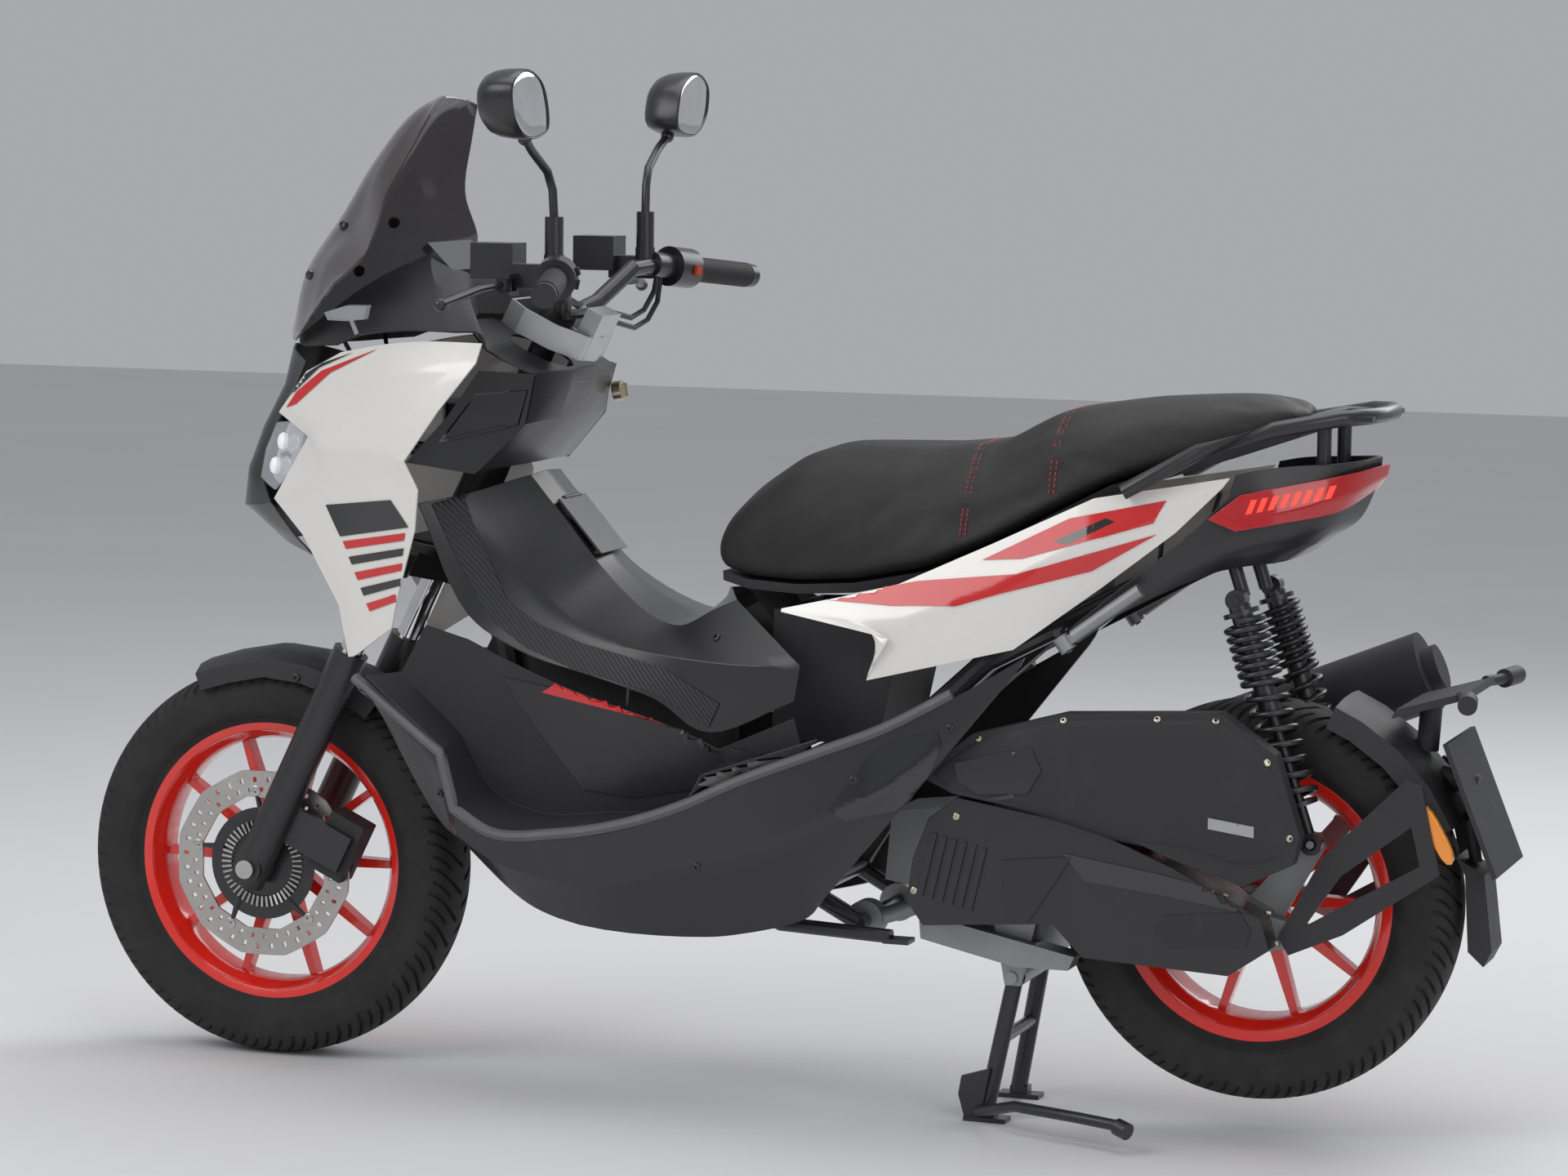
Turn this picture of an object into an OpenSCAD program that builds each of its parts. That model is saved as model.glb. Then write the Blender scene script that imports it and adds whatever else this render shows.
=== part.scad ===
// Moped scooter standing on its centre stand, front wheel on the ground.
// Millimetres. +X points to the rear, +Y to the rider's right, +Z up; the ground is z = 0.

/* [Chassis] */
// Distance between the wheel axles
wheelbase = 1360; // [1130:10:1640]
// Width over the footboards
body_width = 482; // [440:2:580]
// Wall of the plastic panels
panel_wall = 3; // [2:0.5:4]
// Radius of the main frame tubes
tube_r = 14; // [11:1:17]

/* [Front end] */
// Slope of the steering head from the vertical, in degrees
rake = 25.5; // [25:0.1:26]
// Radius of each fork stanchion
stanchion_r = 16.5; // [13:0.5:20]
// Distance of each fork leg from the centre plane
leg_y = 95; // [94:1:98]
// Distance from the leg line back to the steering axis
fork_offset = 35; // [33:1:37]
// Full travel of the fork from its rest place upwards
fork_travel = 90; // [60:5:90]

/* [Wheels] */
// Outer radius of the front tyre
front_tyre_r = 266; // [222:1:270]
// Outer radius of the rear tyre
rear_tyre_r = 256; // [214:1:258]
// Width of the front tyre
front_tyre_w = 110; // [90:1:114]
// Width of the rear tyre
rear_tyre_w = 130; // [106:1:134]
// Radius of the front brake disc
disc_r = 128; // [104:1:154]
// Radius of the front axle
axle_r = 7.5; // [6:0.5:9]

/* [Controls] */
// Distance from the centre plane to the end of each grip
grip_end_y = 378; // [350:2:455]
// Radius of the handlebar tube
bar_r = 11; // [9:0.5:13]
// Radius of the grips
grip_r = 17; // [15:0.5:21]

/* [Seat] */
// Height of the padding above its base, as a factor
seat_thickness = 1; // [0.83:0.01:1.2]

/* [Shock absorbers] */
// Radius of the spring of each rear shock
spring_r = 23; // [19:0.5:27]
// Radius of the damper tube
damper_r = 14; // [12:0.5:17]

/* [Stand] */
// Distance of each centre stand foot from the centre plane
stand_foot_y = 77; // [76:1:94]
// Radius of the stand's tubes
stand_tube_r = 11; // [9:0.5:14]

/* [Hidden] */
$fn = 48;

// The front end and the engine unit keep their shape; the floor between them takes the stretch.
stretch = (wheelbase - 1360) / 2;
floor_front = -200;
floor_rear = 100;
function along(x) =
    x <= floor_front ? x - stretch
    : x >= floor_rear ? x + stretch
    : x - stretch + 2 * stretch * (x - floor_front) / (floor_rear - floor_front);
width_k = body_width / 482;
// A body point, given at the standard wheelbase and width
function at(p) = [along(p.x), p.y * width_k, p.z];

running = 0.05;      // radial gap of a turning or sliding fit
press = 0.02;        // radial gap of a clamped fit
bush_gap = 0.25;     // radial gap of the fork bushes and of the axle in its clamps
reveal = 0.4;        // gap between neighbouring parts
bar_clear = 0.06;    // how far a swept bar's flats stand off its radius
axle_x = -700 - stretch;
rear_shift = stretch;
rear_axle = [660, 0, 300];
swing_pivot = [157, 0, 250];
stand_pivot = [357, 0, 190];
seat_hinge = [-26, 0, 690];
yoke_z = 365 + fork_travel;
clip_gap = 0.7;      // from a clip's ball to the panel it carries
shock_top = [641, 98, 688];
shock_foot = [743, 98, 388];
rail_post = [738, -60, 850];
stem_r = 17.4;
clip_r = 3;

// ---------- shape tools ----------
function unit(v) = v / max(norm(v), 1e-9);
function mirror_y(p) = [p.x, -p.y, p.z];
function flat(rows) = [for (row = rows) for (p = row) p];
function reversed(list) = [for (i = [len(list) - 1:-1:0]) list[i]];
function body(rows) = [for (row = rows) [for (p = row) at(p)]];
// Rows given from the centre plane outwards, completed to both sides
function both_sides(rows) =
    [for (row = rows) concat(reversed(row), [for (i = [1:len(row) - 1]) mirror_y(row[i])])];
function cell_normal(g, i, j) =
    cross(g[i][j + 1] - g[i + 1][j], g[i + 1][j + 1] - g[i][j]);
function grid_normal(g, i, j) =
    let (rows = len(g), cols = len(g[0]),
         found = [for (a = [max(i - 1, 0):min(i, rows - 2)], b = [max(j - 1, 0):min(j, cols - 2)])
                  unit(cell_normal(g, a, b))])
    unit([for (k = [0:2]) [for (n = found) n[k]] * [for (n = found) 1]]);
function volume6(points, faces) =
    [for (f = faces, k = [1:len(f) - 2])
        points[f[0]] * cross(points[f[k]], points[f[k + 1]])] * [for (f = faces, k = [1:len(f) - 2]) 1];

// Closed solid whose faces may be listed turning either way
module solid(points, faces) {
    inverted = volume6(points, faces) > 0;
    polyhedron(points, inverted ? [for (f = faces) reversed(f)] : faces);
}

// Panel of even wall below a grid of surface points; side = 1 or -1 picks the inner side
module shell(grid, side = 1, wall = panel_wall) {
    rows = len(grid);
    cols = len(grid[0]);
    count = rows * cols;
    under = [for (i = [0:rows - 1]) [for (j = [0:cols - 1])
        grid[i][j] - side * wall * grid_normal(grid, i, j)]];
    rim = concat([for (j = [0:cols - 1]) j],
                 [for (i = [1:rows - 1]) i * cols + cols - 1],
                 [for (j = [cols - 2:-1:0]) (rows - 1) * cols + j],
                 [for (i = [rows - 2:-1:1]) i * cols]);
    cells = [for (i = [0:rows - 2], j = [0:cols - 2]) i * cols + j];
    solid(concat(flat(grid), flat(under)), concat(
        [for (c = cells) [c, c + 1, c + cols]],
        [for (c = cells) [c + 1, c + cols + 1, c + cols]],
        [for (c = cells) [count + c, count + c + cols, count + c + 1]],
        [for (c = cells) [count + c + 1, count + c + cols, count + c + cols + 1]],
        [for (k = [0:len(rim) - 1]) let (a = rim[k], b = rim[(k + 1) % len(rim)]) [a, count + a, b]],
        [for (k = [0:len(rim) - 1]) let (a = rim[k], b = rim[(k + 1) % len(rim)])
            [b, count + a, count + b]]));
}

// Closed solid through rings of points, all rings with the same count
module loft(rings) {
    n = len(rings[0]);
    last = (len(rings) - 1) * n;
    sides = [for (r = [0:len(rings) - 2], k = [0:n - 1]) [r * n + k, r * n + (k + 1) % n]];
    solid(flat(rings), concat(
        [for (s = sides) [s[0], s[1], s[0] + n]],
        [for (s = sides) [s[1], s[1] + n, s[0] + n]],
        [[for (k = [n - 1:-1:0]) k]],
        [[for (k = [0:n - 1]) last + k]]));
}

// Round bar between two points
module rod(a, b, r) {
    v = b - a;
    translate(a) rotate([0, acos(v.z / norm(v)), atan2(v.y, v.x)]) cylinder(h = norm(v), r = r);
}

// Round cord or bar swept along a list of points; its flats stand just clear of radius r
module bent_bar(points, r, sides = 12) {
    last = len(points) - 1;
    corner = (r + bar_clear) / cos(180 / sides);
    loft([for (i = [0:last])
        let (t = unit(points[min(i + 1, last)] - points[max(i - 1, 0)]),
             u = unit(cross(t, [0.9, 0.1, 0.3])), v = cross(t, u))
        [for (k = [0:sides - 1])
            points[i] + corner * (u * cos(k * 360 / sides) + v * sin(k * 360 / sides))]]);
}

module cylinder_y(r, y0, y1) {
    translate([0, y1, 0]) rotate([90, 0, 0]) cylinder(h = y1 - y0, r = r);
}

// Side profile in X and Z, extruded from y0 to y1
module slab_y(profile, y0, y1) {
    translate([0, y1, 0]) rotate([90, 0, 0]) linear_extrude(y1 - y0) polygon(profile);
}

module pair() {
    children();
    mirror([0, 1, 0]) children();
}

// Local frame of the fork: Z runs up the legs from the axle, X points back
module fork_space() {
    translate([axle_x, 0, front_tyre_r]) rotate([0, rake, 0]) children();
}
function fork_point(p) =
    [axle_x + p.x * cos(rake) + p.z * sin(rake), p.y, front_tyre_r - p.x * sin(rake) + p.z * cos(rake)];
// Point on the steering axis at distance s above the axle
function head(s) = fork_point([fork_offset, 0, s]);

module rear_space() translate([rear_shift, 0, 0]) children();

// ---------- panel surfaces, left side, from front or top to rear or bottom ----------
front_panel = body([
    [[-560, -128, 962], [-500, -145, 974], [-430, -166, 982], [-336, -190, 983]],
    [[-618, -110, 934], [-520, -150, 935], [-450, -178, 945], [-341, -199, 957]],
    [[-668, -88, 877], [-570, -140, 880], [-480, -178, 885], [-390, -206, 895]],
    [[-616, -108, 848], [-583, -145, 838], [-500, -182, 835], [-436, -210, 828]],
    [[-669, -100, 763], [-570, -150, 792], [-490, -182, 795], [-418, -205, 791]],
    [[-618, -120, 718], [-560, -150, 725], [-490, -174, 730], [-425, -198, 738]],
    [[-561, -132, 629], [-530, -150, 630], [-500, -163, 640], [-456, -180, 650]],
    [[-544, -138, 561], [-530, -145, 565], [-500, -156, 585], [-468, -172, 606]]
]);
nose_rows = body([
    [[-684, 0, 965], [-665, -45, 960], [-630, -84, 946]],
    [[-691, 0, 915], [-680, -40, 912], [-652, -70, 908]],
    [[-727, 0, 853], [-712, -35, 855], [-682, -60, 862]],
    [[-751, 0, 797], [-735, -33, 795], [-706, -56, 786]],
    [[-757, 0, 744], [-730, -45, 748], [-678, -92, 756]],
    [[-721, 0, 722], [-700, -50, 724], [-634, -108, 714]],
    [[-690, 0, 700], [-670, -55, 702], [-606, -112, 690]]
]);
lamp_rows = body([
    [[-680, -66, 862], [-650, -85, 866], [-624, -98, 856]],
    [[-697, -64, 825], [-668, -86, 820], [-636, -98, 812]],
    [[-704, -64, 788], [-687, -80, 780], [-671, -92, 774]]
]);
screen_rows = body([
    [[-688, 0, 981], [-658, -60, 972], [-603, -130, 1008], [-548, -180, 1056]],
    [[-664, 0, 1063], [-642, -58, 1060], [-582, -125, 1078], [-522, -188, 1072]],
    [[-604, 0, 1141], [-592, -54, 1138], [-548, -110, 1126], [-497, -186, 1102]],
    [[-556, 0, 1218], [-546, -48, 1214], [-522, -92, 1200], [-494, -134, 1170]],
    [[-498, 0, 1282], [-492, -35, 1280], [-480, -62, 1270], [-466, -92, 1250]],
    [[-468, 0, 1298], [-464, -28, 1297], [-458, -50, 1294], [-452, -71, 1288]]
]);
dash_rows = body([
    [[-678, 0, 974], [-640, -70, 966], [-566, -130, 972]],
    [[-630, 0, 1010], [-595, -85, 1005], [-528, -146, 986]],
    [[-560, 0, 1056], [-540, -95, 1040], [-470, -158, 994]],
    [[-500, 0, 1084], [-485, -100, 1066], [-425, -170, 996]],
    [[-466, 0, 1098], [-446, -98, 1080], [-385, -178, 996]],
    [[-430, 0, 1062], [-392, -104, 1046], [-345, -172, 994]],
    [[-418, 0, 1012], [-380, -108, 1004], [-338, -166, 975]]
]);
indicator_rows = body([
    [[-576, -146, 1014], [-540, -160, 1024], [-507, -166, 1025]],
    [[-572, -144, 1004], [-540, -157, 1004], [-512, -164, 1007]]
]);
// Side wall of the leg shield: a plane through this edge
shield_corner = [-406, -186];
shield_turn = 18.9;
shield_rows = body([
    [[-250, 0, 948], [-252, -80, 946], [-280, -140, 944]],
    [[-264, 0, 888], [-270, -80, 884], [-292, -144, 878]],
    [[-314, 0, 822], [-322, -80, 820], [-350, -164, 816]]
]);
tunnel_rows = body([
    [[-318, 0, 808], [-321, -54, 805], [-392, -118, 780], [-436, -160, 770]],
    [[-262, 0, 743.6], [-265, -54, 740], [-325, -112, 686], [-378, -130, 625]],
    [[-216, 0, 690.6], [-219, -54, 687], [-258, -120, 625], [-305, -134, 582]],
    [[-133, 0, 639], [-128, -92, 628], [-150, -134, 592], [-182, -144, 550]],
    [[-97, 0, 626], [-90, -105, 622], [-75, -152, 585], [-108, -154, 530]],
    [[-68, 0, 648], [-46, -112, 644], [15, -172, 582], [-30, -164, 492]],
    [[-60, 0, 664], [-10, -118, 660], [100, -190, 588], [92, -190, 542]]
]);
floor_rows = body([
    [[-430, -146, 610], [-462, -150, 548], [-500, -180, 544]],
    [[-378, -128, 592], [-388, -132, 470], [-372, -222, 459]],
    [[-330, -126, 570], [-338, -126, 392], [-347, -236, 391]],
    [[-250, -132, 540], [-270, -122, 368], [-305, -241, 361]],
    [[-182, -136, 520], [-190, -120, 374], [-210, -241, 364]],
    [[-70, -144, 488], [-75, -122, 394], [-40, -241, 410]],
    [[-20, -156, 470], [0, -150, 440], [-15, -237, 449]],
    [[90, -184, 520], [100, -180, 480], [132, -214, 500]]
]);
skirt_rows = body([
    [[-522, -168, 532], [-508, -178, 524], [-492, -176, 514]],
    [[-378, -222, 448], [-374, -223, 420], [-384, -196, 357]],
    [[-352, -237, 378], [-347, -235, 350], [-361, -190, 337]],
    [[-302, -241, 352], [-296, -237, 320], [-287, -188, 272]],
    [[-210, -241, 355], [-215, -235, 300], [-232, -172, 240]],
    [[-40, -241, 401], [-40, -233, 320], [-30, -172, 229]],
    [[20, -238, 430], [40, -231, 340], [22, -182, 238]],
    [[138, -220, 478], [125, -226, 385], [112, -188, 265]],
    [[208, -204, 506], [190, -212, 420], [132, -198, 286]],
    [[300, -192, 556], [282, -197, 486], [237, -200, 412]],
    [[392, -182, 612], [386, -183, 600], [378, -184, 588]]
]);
rear_panel = body([
    [[66, -166, 657], [66, -167, 655], [66, -168, 653]],
    [[148, -166, 676], [165, -178, 650], [217, -188, 628]],
    [[221, -166, 695], [230, -180, 650], [186, -184, 573]],
    [[340, -160, 750], [345, -176, 690], [372, -166, 619]],
    [[469, -152, 812], [470, -166, 760], [480, -152, 700]],
    [[560, -140, 828], [560, -150, 800], [571, -142, 772]],
    [[636, -130, 842], [632, -132, 836], [628, -132, 830]]
]);
tail_rows = body([
    [[800, 0, 866], [778, -60, 862], [690, -104, 855], [642, -124, 846]],
    [[798, 0, 840], [768, -64, 836], [690, -108, 822], [634, -126, 818]],
    [[776, 0, 790], [742, -66, 784], [680, -110, 775], [578, -136, 762]],
    [[736, 0, 760], [722, -62, 756], [620, -118, 738], [490, -146, 690]],
    [[712, 0, 742], [690, -60, 734], [600, -112, 716], [400, -152, 612]]
]);
tail_lens = body([
    [[810, 0, 857], [775, -74, 848], [703, -111, 833], [649, -130, 821]],
    [[807, 0, 842], [771, -76, 820], [699, -117, 800], [611, -141, 790]],
    [[796, 0, 826], [761, -76, 800], [696, -117, 786], [645, -133, 776]]
]);
// Upper and lower outline of the seat: x, half width, underside height, top height
seat_stations = [
    [-52, 92, 704, 742], [-40, 108, 694, 768], [0, 128, 686, 806], [70, 146, 684, 850],
    [150, 158, 690, 851], [250, 160, 710, 853], [330, 158, 744, 862], [370, 156, 766, 885],
    [405, 154, 786, 903], [480, 145, 826, 915], [600, 120, 866, 932], [680, 90, 894, 939],
    [706, 70, 903, 934], [714, 52, 908, 922]
];

// ---------- chassis ----------
left_rail = [[-330, 0, 345], [-300, -110, 290], [90, -110, 290], [200, -132, 480],
             [330, -132, 600], [620, -92, 752]];
rail = [for (p = left_rail) [along(p.x), p.y, p.z]];

// Stay from a point to just short of a panel, at a grid point of that panel
module clip(from, grid, i, j, wall = panel_wall) {
    to = grid[i][j];
    n = grid_normal(grid, i, j);
    lean = unit(to - from) * n;
    rod(from, to - sign(lean) * (wall + clip_gap + clip_r * sqrt(1 - lean * lean)) * n, clip_r);
}

module frame() color("#2b2b2d") {
    difference() {
        rod(head(500), head(680), stem_r + 10);
        rod(head(490), head(690), stem_r + running);
    }
    bent_bar([head(560) + [22, 0, -46], rail[0] + [0, 0, 55], rail[0]], tube_r + 6);
    pair() {
        bent_bar(rail, tube_r);
        rod(rail[2] + [-6, 4, 0], [swing_pivot.x + rear_shift, -104, swing_pivot.z], 12);
        rod([shock_top.x - 21 + rear_shift, -62, 752],
            [shock_top.x + rear_shift, -62, shock_top.z], 9);
        side_stays();
        rear_space() {
            peg_arm(5);
            rod(peg_pivot - 16 * peg_axis, peg_pivot + 12 * peg_axis, 4);
            rod([620, -88, 752], [rail_post.x, rail_post.y, 800], 8);
            translate(rail_post - [0, 0, 54]) cylinder(h = 54, r = 8);
        }
    }
    nose_stay();
    // pin and bracket of the side stand
    side_stand_space() {
        cylinder_y(5, -153, -112);
        translate([-14, -131, -5]) cube([28, 23, 30]);
    }
    rear_space() {
        translate(swing_pivot) cylinder_y(10, -114, 114);
        translate(shock_top - [0, shock_top.y, 0]) pair() cylinder_y(6, -112, -58);
        translate([620, 0, 752]) cylinder_y(10, -92, 92);
        translate([330, 0, 600]) cylinder_y(8, -132, 132);
    }
    translate([along(90), 0, 290]) cylinder_y(tube_r - 2, -110, 110);
    // posts under the tank and the storage bin
    for (x = [-190, -90]) translate([along(x), 0, 290]) {
        cylinder_y(10, -110, 110);
        pair() translate([0, -50, 0]) cylinder(h = 90 - reveal, r = 8);
    }
    pair() translate([along(330), -80, 600]) cylinder(h = 37.3, r = 6);
}

// Stays from the head tube and the rails to the panels of one side
module side_stays() {
    clip([axle_x + 300, -23, 830], front_panel, 3, 2);
    clip([axle_x + 306, -12, 690], front_panel, 5, 2);
    clip([axle_x + 330, -19, 850], shield_rows, 1, 1);
    clip([axle_x + 310, -12, 646], tunnel_rows, 1, 2);
    clip([along(-180), -102, 292], tunnel_rows, 3, 2);
    clip([along(-190), -112, 296], floor_rows, 4, 1);
    clip([along(-300), -112, 292], floor_rows, 2, 2);
    clip([along(60), -112, 296], floor_rows, 6, 1);
    clip([along(-215), -112, 290], skirt_rows, 4, 1);
    clip([along(60), -112, 292], skirt_rows, 6, 1);
    clip([along(345), -132, 610], rear_panel, 3, 1);
    clip([along(540), -104, 710], rear_panel, 5, 1);
    clip([along(600), -94, 742], tail_rows, 3, 2);
}

// Stay that reaches forward from the head tube to the nose, the lamps and the cowl
module nose_stay() {
    nose = [axle_x + 60, 0, 850];
    rod([axle_x + 277, 0, 820], nose, 8);
    pair() {
        clip(nose + [6, 0, 0], nose_rows, 2, 1);
        clip(nose + [30, 0, -2], lamp_rows, 1, 1);
        clip(nose + [110, 0, -15], dash_rows, 1, 1);
    }
}

module front_side_panels() color("#e9e6df") pair() shell(front_panel, -1);
module nose_mask() color("#232325") shell(both_sides(nose_rows));
screen_wall = 4;
module front_lamps() color("#dfe6ea", 0.5) pair() {
    shell(lamp_rows, -1);
    shell(indicator_rows, -1, 10);
    clip((indicator_rows[0][1] + indicator_rows[1][1]) / 2 + [2, 5, 0], dash_rows, 1, 2, -0.4);
}
module windscreen() color("#2a1c20", 0.5) shell(both_sides(screen_rows), -1, screen_wall);
module dash_cowl() color("#2a2a2c") {
    difference() {
        shell(both_sides(dash_rows), -1);
        instrument_space() cube([50 + 2 * reveal, 150 + 2 * reveal, 60], center = true);
    }
    // posts of the windscreen
    pair() {
        clip(dash_rows[2][1] - [0, 0, 2], screen_rows, 2, 1, screen_wall);
        clip(dash_rows[1][1] - [0, 0, 2], screen_rows, 1, 1, screen_wall);
    }
}

module instrument_space() translate(at([-447, 0, 1084])) rotate([0, 45, 0]) children();
module instrument_cluster() color("#101214") instrument_space() cube([50, 150, 12], center = true);

module glove_plane() {
    translate([along(shield_corner.x), shield_corner.y * width_k, 0]) rotate([0, 0, shield_turn])
        children();
}
glove_outline = [[8, 852], [112, 876], [124, 922], [56, 916]];
glove_hinge_a = glove_outline[0];
glove_hinge_b = glove_outline[1];

module leg_shield() color("#1f1f21") {
    shell(both_sides(shield_rows), -1);
    difference() {
        pair() glove_plane()
            slab_y([[-34, 826], [56, 812], [120, 876], [132, 942], [60, 946], [18, 884]], 0, panel_wall);
        glove_plane() slab_y(glove_outline, -5, 9);
    }
    // open box behind the glove-box door
    glove_plane() difference() {
        translate([14, panel_wall + 0.1, 862]) cube([92, 66, 44]);
        translate([17, -1, 865]) cube([86, 64, 38]);
    }
    // deck round the steering stem
    fork_space() translate([fork_offset, 0, 788]) linear_extrude(panel_wall)
        difference() {
            polygon([[-92, -30], [-92, 30], [-62, 100], [-20, 150], [10, 156], [53, 140], [81, 60],
                     [81, -60], [53, -140], [10, -156], [-20, -150], [-62, -100]]);
            circle(46);
        }
}

module glovebox_door() color("#161618") glove_plane() {
    slab_y([for (p = glove_outline) p + unit([66, 888] - p) * (p == glove_hinge_a ? 6.5 : 1.8)], -1, 2);
    rod([20, -2.5, glove_hinge_a.y + 4.6], [96, -2.5, glove_hinge_b.y - 2], 1.6);
}

module tunnel_cover() color("#2c2c2e") difference() {
    shell(both_sides(tunnel_rows), -1);
    filler_space() translate([-40, -42, -16]) cube([80, 84, 24]);
}

// The filler lies square to the tunnel's upper slope
filler = at([-256, 0, 736.6]);
filler_tilt = 49;
module filler_space() translate(filler) rotate([0, filler_tilt, 0]) children();

module fuel_tank() color("#3a3a3c") {
    loft([for (s = [[-300, 62, 430, 640], [-262, 66, 400, 660], [-220, 66, 380, 640],
                    [-140, 70, 380, 590], [-70, 70, 380, 570]])
        [for (p = [[-1, 0], [1, 0], [1, 1], [-1, 1]])
            [along(s[0]), p[0] * s[1], s[2] + p[1] * (s[3] - s[2])]]]);
    filler_space() translate([0, 0, -50]) cylinder(h = 18, r = 24);
    rod(filler + [-42, 0, -44], filler + [-6, 0, -110], 20);
}

module fuel_cap() color("#1b1b1d") filler_space() translate([0, 0, -31.7]) {
    cylinder(h = 12, r = 30);
    translate([-22, -5, 12]) cube([44, 10, 8]);
}

module fuel_door() color("#29292b") filler_space() {
    translate([-46, -48, 1.5]) cube([92, 96, 3]);
    translate([-46, 0, 3.5]) cylinder_y(3, -30, 30);
}

module ignition_switch() color("#77797c") translate(at([-259.3, 92, 908])) rotate([0, 80, 0]) {
    cylinder(h = 12, r = 13);
    translate([-9, -2, 12]) cube([18, 4, 7]);
}

module footboards() color("#262628") pair() shell(floor_rows);
module floor_skirts() color("#222224") {
    pair() shell(skirt_rows);
    translate([along(-225), -176 * width_k, 241]) cube([along(-60) - along(-225), 352 * width_k, 3]);
}
module rear_side_panels() color("#e9e6df") pair() shell(rear_panel);
module tail_fairing() color("#1e1e20") {
    difference() {
        shell(both_sides(tail_rows), -1);
        rear_space() pair() peg_arm(7);
    }
    rear_space() slab_y([[640, 730], [650, 692], [712, 706], [745, 722], [818, 736], [722, 741]], -56, 56);
}
module tail_light() color("#a3141c", 0.8) shell(both_sides(tail_lens), -1, 3);

rail_bar = [[508, -162, 822], [600, -148, 874], [690, -130, 903], [767, -106, 918], [798, -70, 920],
            [806, -30, 920]];
module grab_rail() color("#161618") rear_space() {
    bent_bar(concat(rail_bar, [for (p = reversed(rail_bar)) mirror_y(p)]), 10, 16);
    pair() translate(rail_post + [0, 0, reveal]) cylinder(h = 68, r = 9);
    difference() {
        translate([728, -100, 915]) cube([78, 200, 6]);
        translate([746, -50, 900]) cube([40, 100, 30]);
    }
}

bin_outline = [[34, 480], [176, 480], [206, 622], [432, 652], [432, 764], [330, 706], [250, 672],
               [176, 652], [34, 648]];
bin_hollow = [[38, 484], [173, 484], [203, 626], [428, 656], [428, 780], [34, 780]];
function body_profile(profile) = [for (p = profile) [along(p.x), p.y]];
module storage_bin() color("#303032") {
    difference() {
        slab_y(body_profile(bin_outline), -100, 100);
        difference() {
            slab_y(body_profile(bin_hollow), -96, 96);
            translate([along(34) - 2, -101, 470]) cube([6, 202, 300]);
        }
    }
    translate([along(34), 0, 0]) {
        pair() slab_y([[-66, 678], [-66, 698], [-54, 700], [0, 640], [0, 600]], -34, -28);
        translate([seat_hinge.x - 34, 0, seat_hinge.z]) cylinder_y(4, -34, 34);
    }
}

// Ring of the seat at one station, blended between its underside and its top
function seat_ring(s) =
    let (top = s[2] + (s[3] - s[2]) * seat_thickness)
    [for (p = [[-0.86, 0], [0.86, 0], [0.97, 0.12], [1, 0.34], [0.95, 0.62], [0.78, 0.86], [0.45, 0.985],
               [0, 1], [-0.45, 0.985], [-0.78, 0.86], [-0.95, 0.62], [-1, 0.34], [-0.97, 0.12]])
        [along(s[0]), p[0] * s[1], s[2] + p[1] * (top - s[2])]];
module hinge_space() translate([along(34) + seat_hinge.x - 34, 0, seat_hinge.z]) children();
module seat_cushion() color("#161618") difference() {
    loft([for (s = seat_stations) seat_ring(s)]);
    hinge_space() translate([-40, -38, -20]) cube([66, 76, 35]);
}

module seat_base() color("#2a2a2c") {
    difference() {
        loft([for (i = [1:len(seat_stations) - 2]) let (s = seat_stations[i])
            [for (p = [[-0.8, -13], [0.8, -13], [0.82, -reveal], [-0.82, -reveal]])
                [along(s[0]), p[0] * s[1], s[2] + p[1]]]]);
        hinge_space() translate([-40, -38, -40]) cube([50, 76, 60]);
        hinge_space() pair() translate([-40, -38, -40]) cube([76, 10.6, 60]);
    }
    hinge_space() difference() {
        union() {
            cylinder_y(8, -27, 27);
            translate([-4, -27, -13]) cube([34, 54, 8]);
        }
        cylinder_y(4 + running, -28, 28);
    }
}

peg_pivot = [440, -172, 631];
peg_axis = [0.6, 0, -0.8];
module peg_arm(r) rod(peg_pivot - 15.5 * peg_axis - [0, 4, 0], [430.7, -118, 652], r);
module pillion_peg() rear_space() {
    rod([452, -172, 640], [536, -172, 702], 9);
    translate(peg_pivot) rotate([0, -36.87, 0]) {
        difference() {
            union() {
                cylinder(h = 20, r = 11, center = true);
                translate([0, -6, -6]) cube([20, 12, 12]);
            }
            cylinder(h = 30, r = 4 + running, center = true);
        }
    }
}
module left_pillion_peg() color("#1a1a1c") pillion_peg();
module right_pillion_peg() color("#1a1a1c") mirror([0, 1, 0]) pillion_peg();

module side_stand_space() translate([along(2), 0, 262]) rotate([0, 0, 11.5]) children();
module side_stand() color("#1a1a1c") {
    side_stand_space() difference() {
        cylinder_y(15, -150, -132);
        cylinder_y(5 + running, -160, -120);
    }
    translate([along(2), 0, 0]) {
        bent_bar([[38, -140, 258], [60, -142, 248], [212, -150, 243]], 9);
        translate([205, -166, 236]) cube([34, 30, 6]);
    }
}

// ---------- steering ----------
module fork_yoke() color("#1c1c1e") fork_space() {
    translate([fork_offset, 0, yoke_z]) cylinder(h = 830 - yoke_z, r = stem_r);
    translate([0, 0, yoke_z]) linear_extrude(34) difference() {
        union() {
            for (side = [-1, 1]) translate([0, side * leg_y]) circle(stanchion_r + 11);
            translate([fork_offset, 0]) circle(30);
            polygon([[-18, -leg_y], [-18, leg_y], [16, leg_y], [58, 16], [58, -16], [16, -leg_y]]);
        }
        for (side = [-1, 1]) translate([0, side * leg_y]) circle(stanchion_r + press);
    }
}

module fork_stanchions() color("#c9cdd2") fork_space()
    pair() translate([0, -leg_y, 120]) cylinder(h = yoke_z - 83, r = stanchion_r);

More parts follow.
